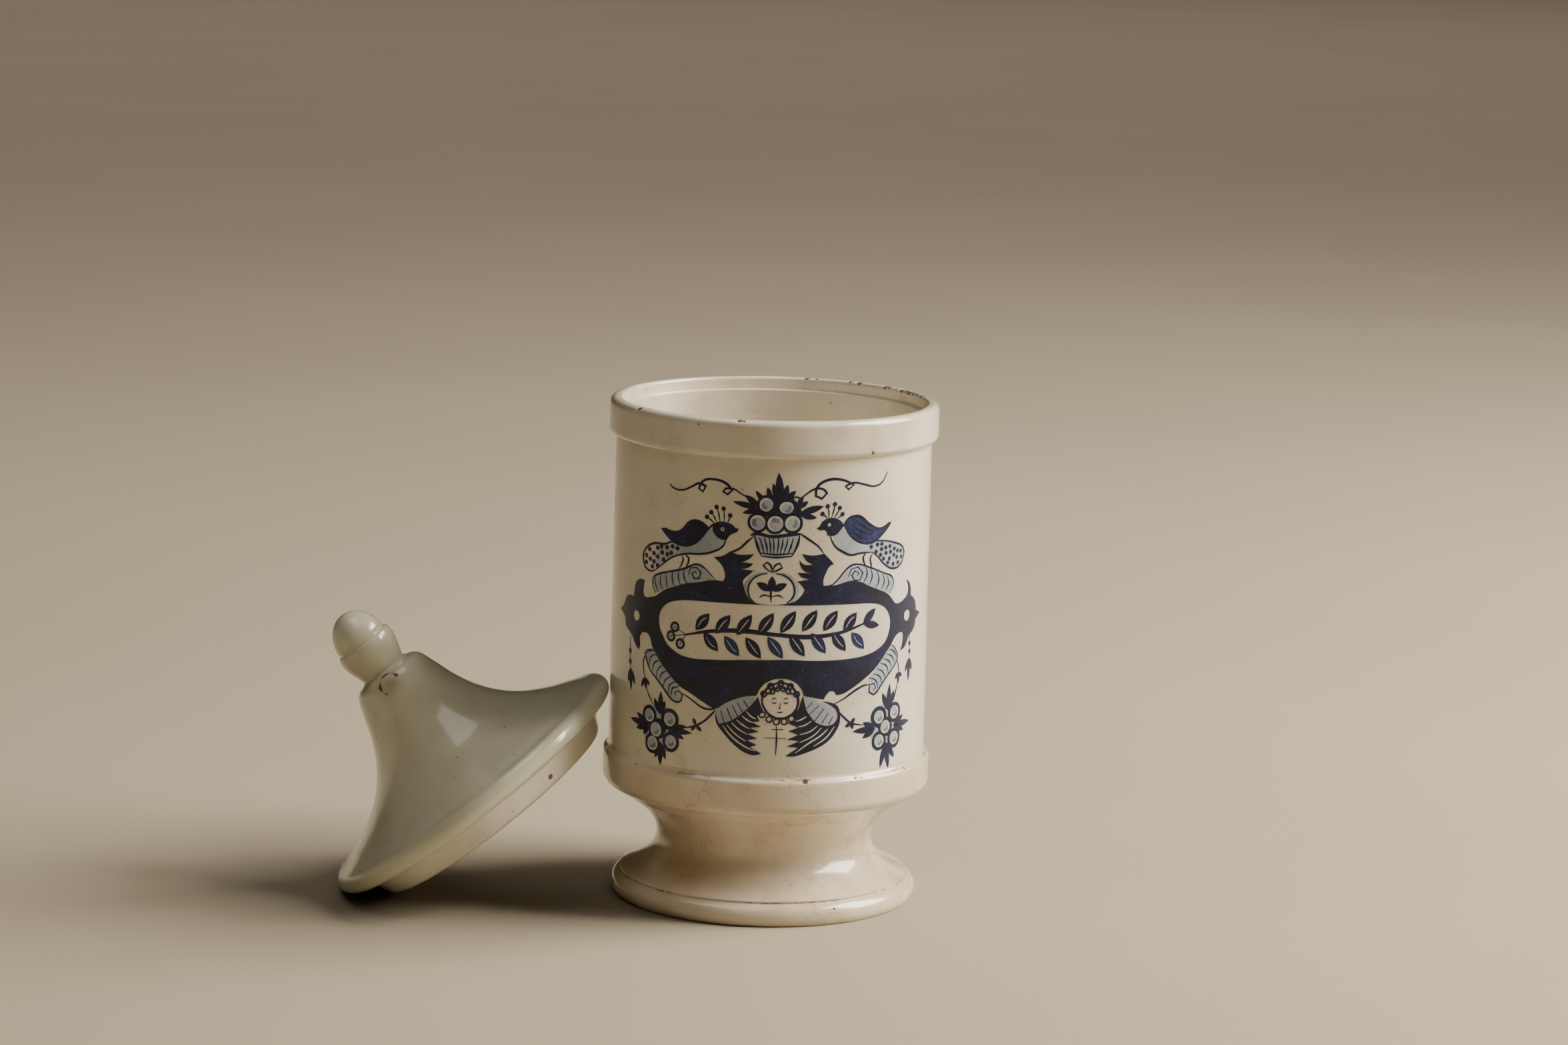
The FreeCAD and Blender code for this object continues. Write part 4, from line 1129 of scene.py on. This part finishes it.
def pigment(name, thick, thin, cream, streak=0.5, scuffed=0.0):
    """Brushed cobalt under a clear glaze, streaked from a thick colour to a thin one."""
    material, tree = new_material(name)
    flat = add(tree, "UVMap", uv_map="unrolled")
    hairs = add(tree, "Mapping", {"Vector": flat, "Scale": (60.0, 260.0, 1.0),
                                  "Rotation": (0.0, 0.0, math.radians(12))})
    streaks = add(tree, "TexNoise", {"Vector": hairs}, Scale=1.0, Detail=3.0, Distortion=0.4)
    pools = add(tree, "TexNoise", {"Vector": flat}, Scale=9.0, Detail=4.0, Roughness=0.6)
    fine = add(tree, "Math", {0: streaks, 1: streak}, operation="MULTIPLY")
    broad = add(tree, "Math", {0: pools, 1: 1.0 - streak}, operation="MULTIPLY")
    depth = add(tree, "Math", {0: fine, 1: broad}, operation="ADD")
    share = add(tree, "MapRange", {"Value": depth}, From_Min=0.38, From_Max=0.66, **SMOOTH)
    tone = add(tree, "Mix", {0: share, 6: colour(thick), 7: colour(thin)}, data_type="RGBA")
    flecks = add(tree, "TexNoise", {"Vector": flat}, Scale=95.0, Detail=3.0)
    scuffs = add(tree, "MapRange", {"Value": flecks}, From_Min=0.62, From_Max=0.70, **SMOOTH)
    where = add(tree, "MapRange", {"Value": pools}, From_Min=0.46, From_Max=0.62, To_Max=scuffed,
                **SMOOTH)
    worn = add(tree, "Math", {0: scuffs, 1: where}, operation="MULTIPLY")
    tone = add(tree, "Mix", {0: worn, 6: tone, 7: colour(cream)}, data_type="RGBA")
    bump = add(tree, "Bump", {"Height": depth}, Strength=0.15, Distance=0.1 * MM)
    shader = add(tree, "BsdfPrincipled", {"Base Color": tone, "Normal": bump}, Metallic=0.0,
                 Roughness=0.3, IOR=1.42, Coat_Weight=0.22, Coat_Roughness=0.035)
    add(tree, "OutputMaterial", {"Surface": shader})
    print(name, len(tree.nodes), "nodes")
    return material


GROUND = "DDD5C0"       # the cream that shows through thin paint
wash_paint = pigment("cobalt_wash_thin", "94A0AE", "BCBEBA", GROUND, scuffed=0.2)
for tone, material in (("dark", pigment("cobalt_thick_brushed", "02061C", "0E1C4C", GROUND, scuffed=0.12)),
                       ("blue", pigment("cobalt_thin_brushed", "091338", "2A3C70", GROUND, streak=0.7)),
                       ("wash", wash_paint), ("wash_top", wash_paint),
                       ("slate", pigment("cobalt_slate_dab", "5E6C84", "8791A2", GROUND)),
                       ("cream", pigment("glaze_left_bare", "DDD5C1", "D6CDB6", GROUND))):
    painted[tone].data.materials.append(material)

# %% [markdown]
# ## The studio
# A plain pale floor and one large soft window light from the right, as in a still life by a
# window. Its size gives a broad shadow edge and a soft patch on the glaze. A small bright lamp
# adds the narrow sheen of the panes, a weak one overhead opens the shadows, and a fourth lights
# only the floor behind, so that no milky patch of it lies on the glaze.

# %% Floor
FLOOR_SIZE = 24.0
floor_bm = bmesh.new()
bmesh.ops.create_grid(floor_bm, x_segments=1, y_segments=1, size=FLOOR_SIZE / 2)
floor_mesh = bpy.data.meshes.new("floor")
floor_bm.to_mesh(floor_mesh)
floor_bm.free()
floor = bpy.data.objects.new("floor", floor_mesh)
bpy.context.scene.collection.objects.link(floor)
paper, paper_tree = new_material("matt_paper_floor")
paper_here = add(paper_tree, "TexCoord").outputs["Object"]
paper_noise = add(paper_tree, "TexNoise", {"Vector": paper_here}, Scale=3.0, Detail=2.0)
paper_tone = add(paper_tree, "Mix", {0: paper_noise, 6: colour("7A7160"), 7: colour("817866")},
                 data_type="RGBA")
paper_shader = add(paper_tree, "BsdfPrincipled", {"Base Color": paper_tone}, Roughness=0.95, IOR=1.3)
add(paper_tree, "OutputMaterial", {"Surface": paper_shader})
floor_mesh.materials.append(paper)

# %% Lights


def area_light(name, place, target, width, height, watts, tint):
    """A rectangular lamp at a place, turned to a target, both in metres."""
    data = bpy.data.lights.new(name, "AREA")
    data.shape = "RECTANGLE"
    data.size, data.size_y = width, height
    data.energy = watts
    data.color = colour(tint)[:3]
    light = bpy.data.objects.new(name, data)
    light.location = place
    light.rotation_euler = (Vector(target) - Vector(place)).to_track_quat("-Z", "Y").to_euler()
    bpy.context.scene.collection.objects.link(light)
    return light


area_light("window", (1.6, 0.14, 1.3), (0, 0, 0.1), 1.25, 1.5, 120, "FFF8EC")
area_light("panes", (1.1, -0.25, 1.4), (-0.05, 0, 0.1), 0.16, 0.36, 3.6, "FFF8EC")
area_light("overhead", (-0.5, -0.35, 1.9), (0, 0, 0.1), 1.3, 0.9, 7, "FFF9F0")
backdrop = area_light("backdrop", (0, 5.6, 3.2), (0, 5.6, 0), 9.0, 5.0, 235, "FFF9F0")
only_floor = bpy.data.collections.new("lit_by_backdrop")
only_floor.objects.link(floor)
backdrop.light_linking.receiver_collection = only_floor
world = bpy.data.worlds.new("room")
world.use_nodes = True
world.node_tree.nodes["Background"].inputs["Color"].default_value = colour("C9B28E")
world.node_tree.nodes["Background"].inputs["Strength"].default_value = 0.052
bpy.context.scene.world = world
print("view transform", bpy.context.scene.view_settings.view_transform,
      bpy.context.scene.view_settings.look, bpy.context.scene.view_settings.exposure)
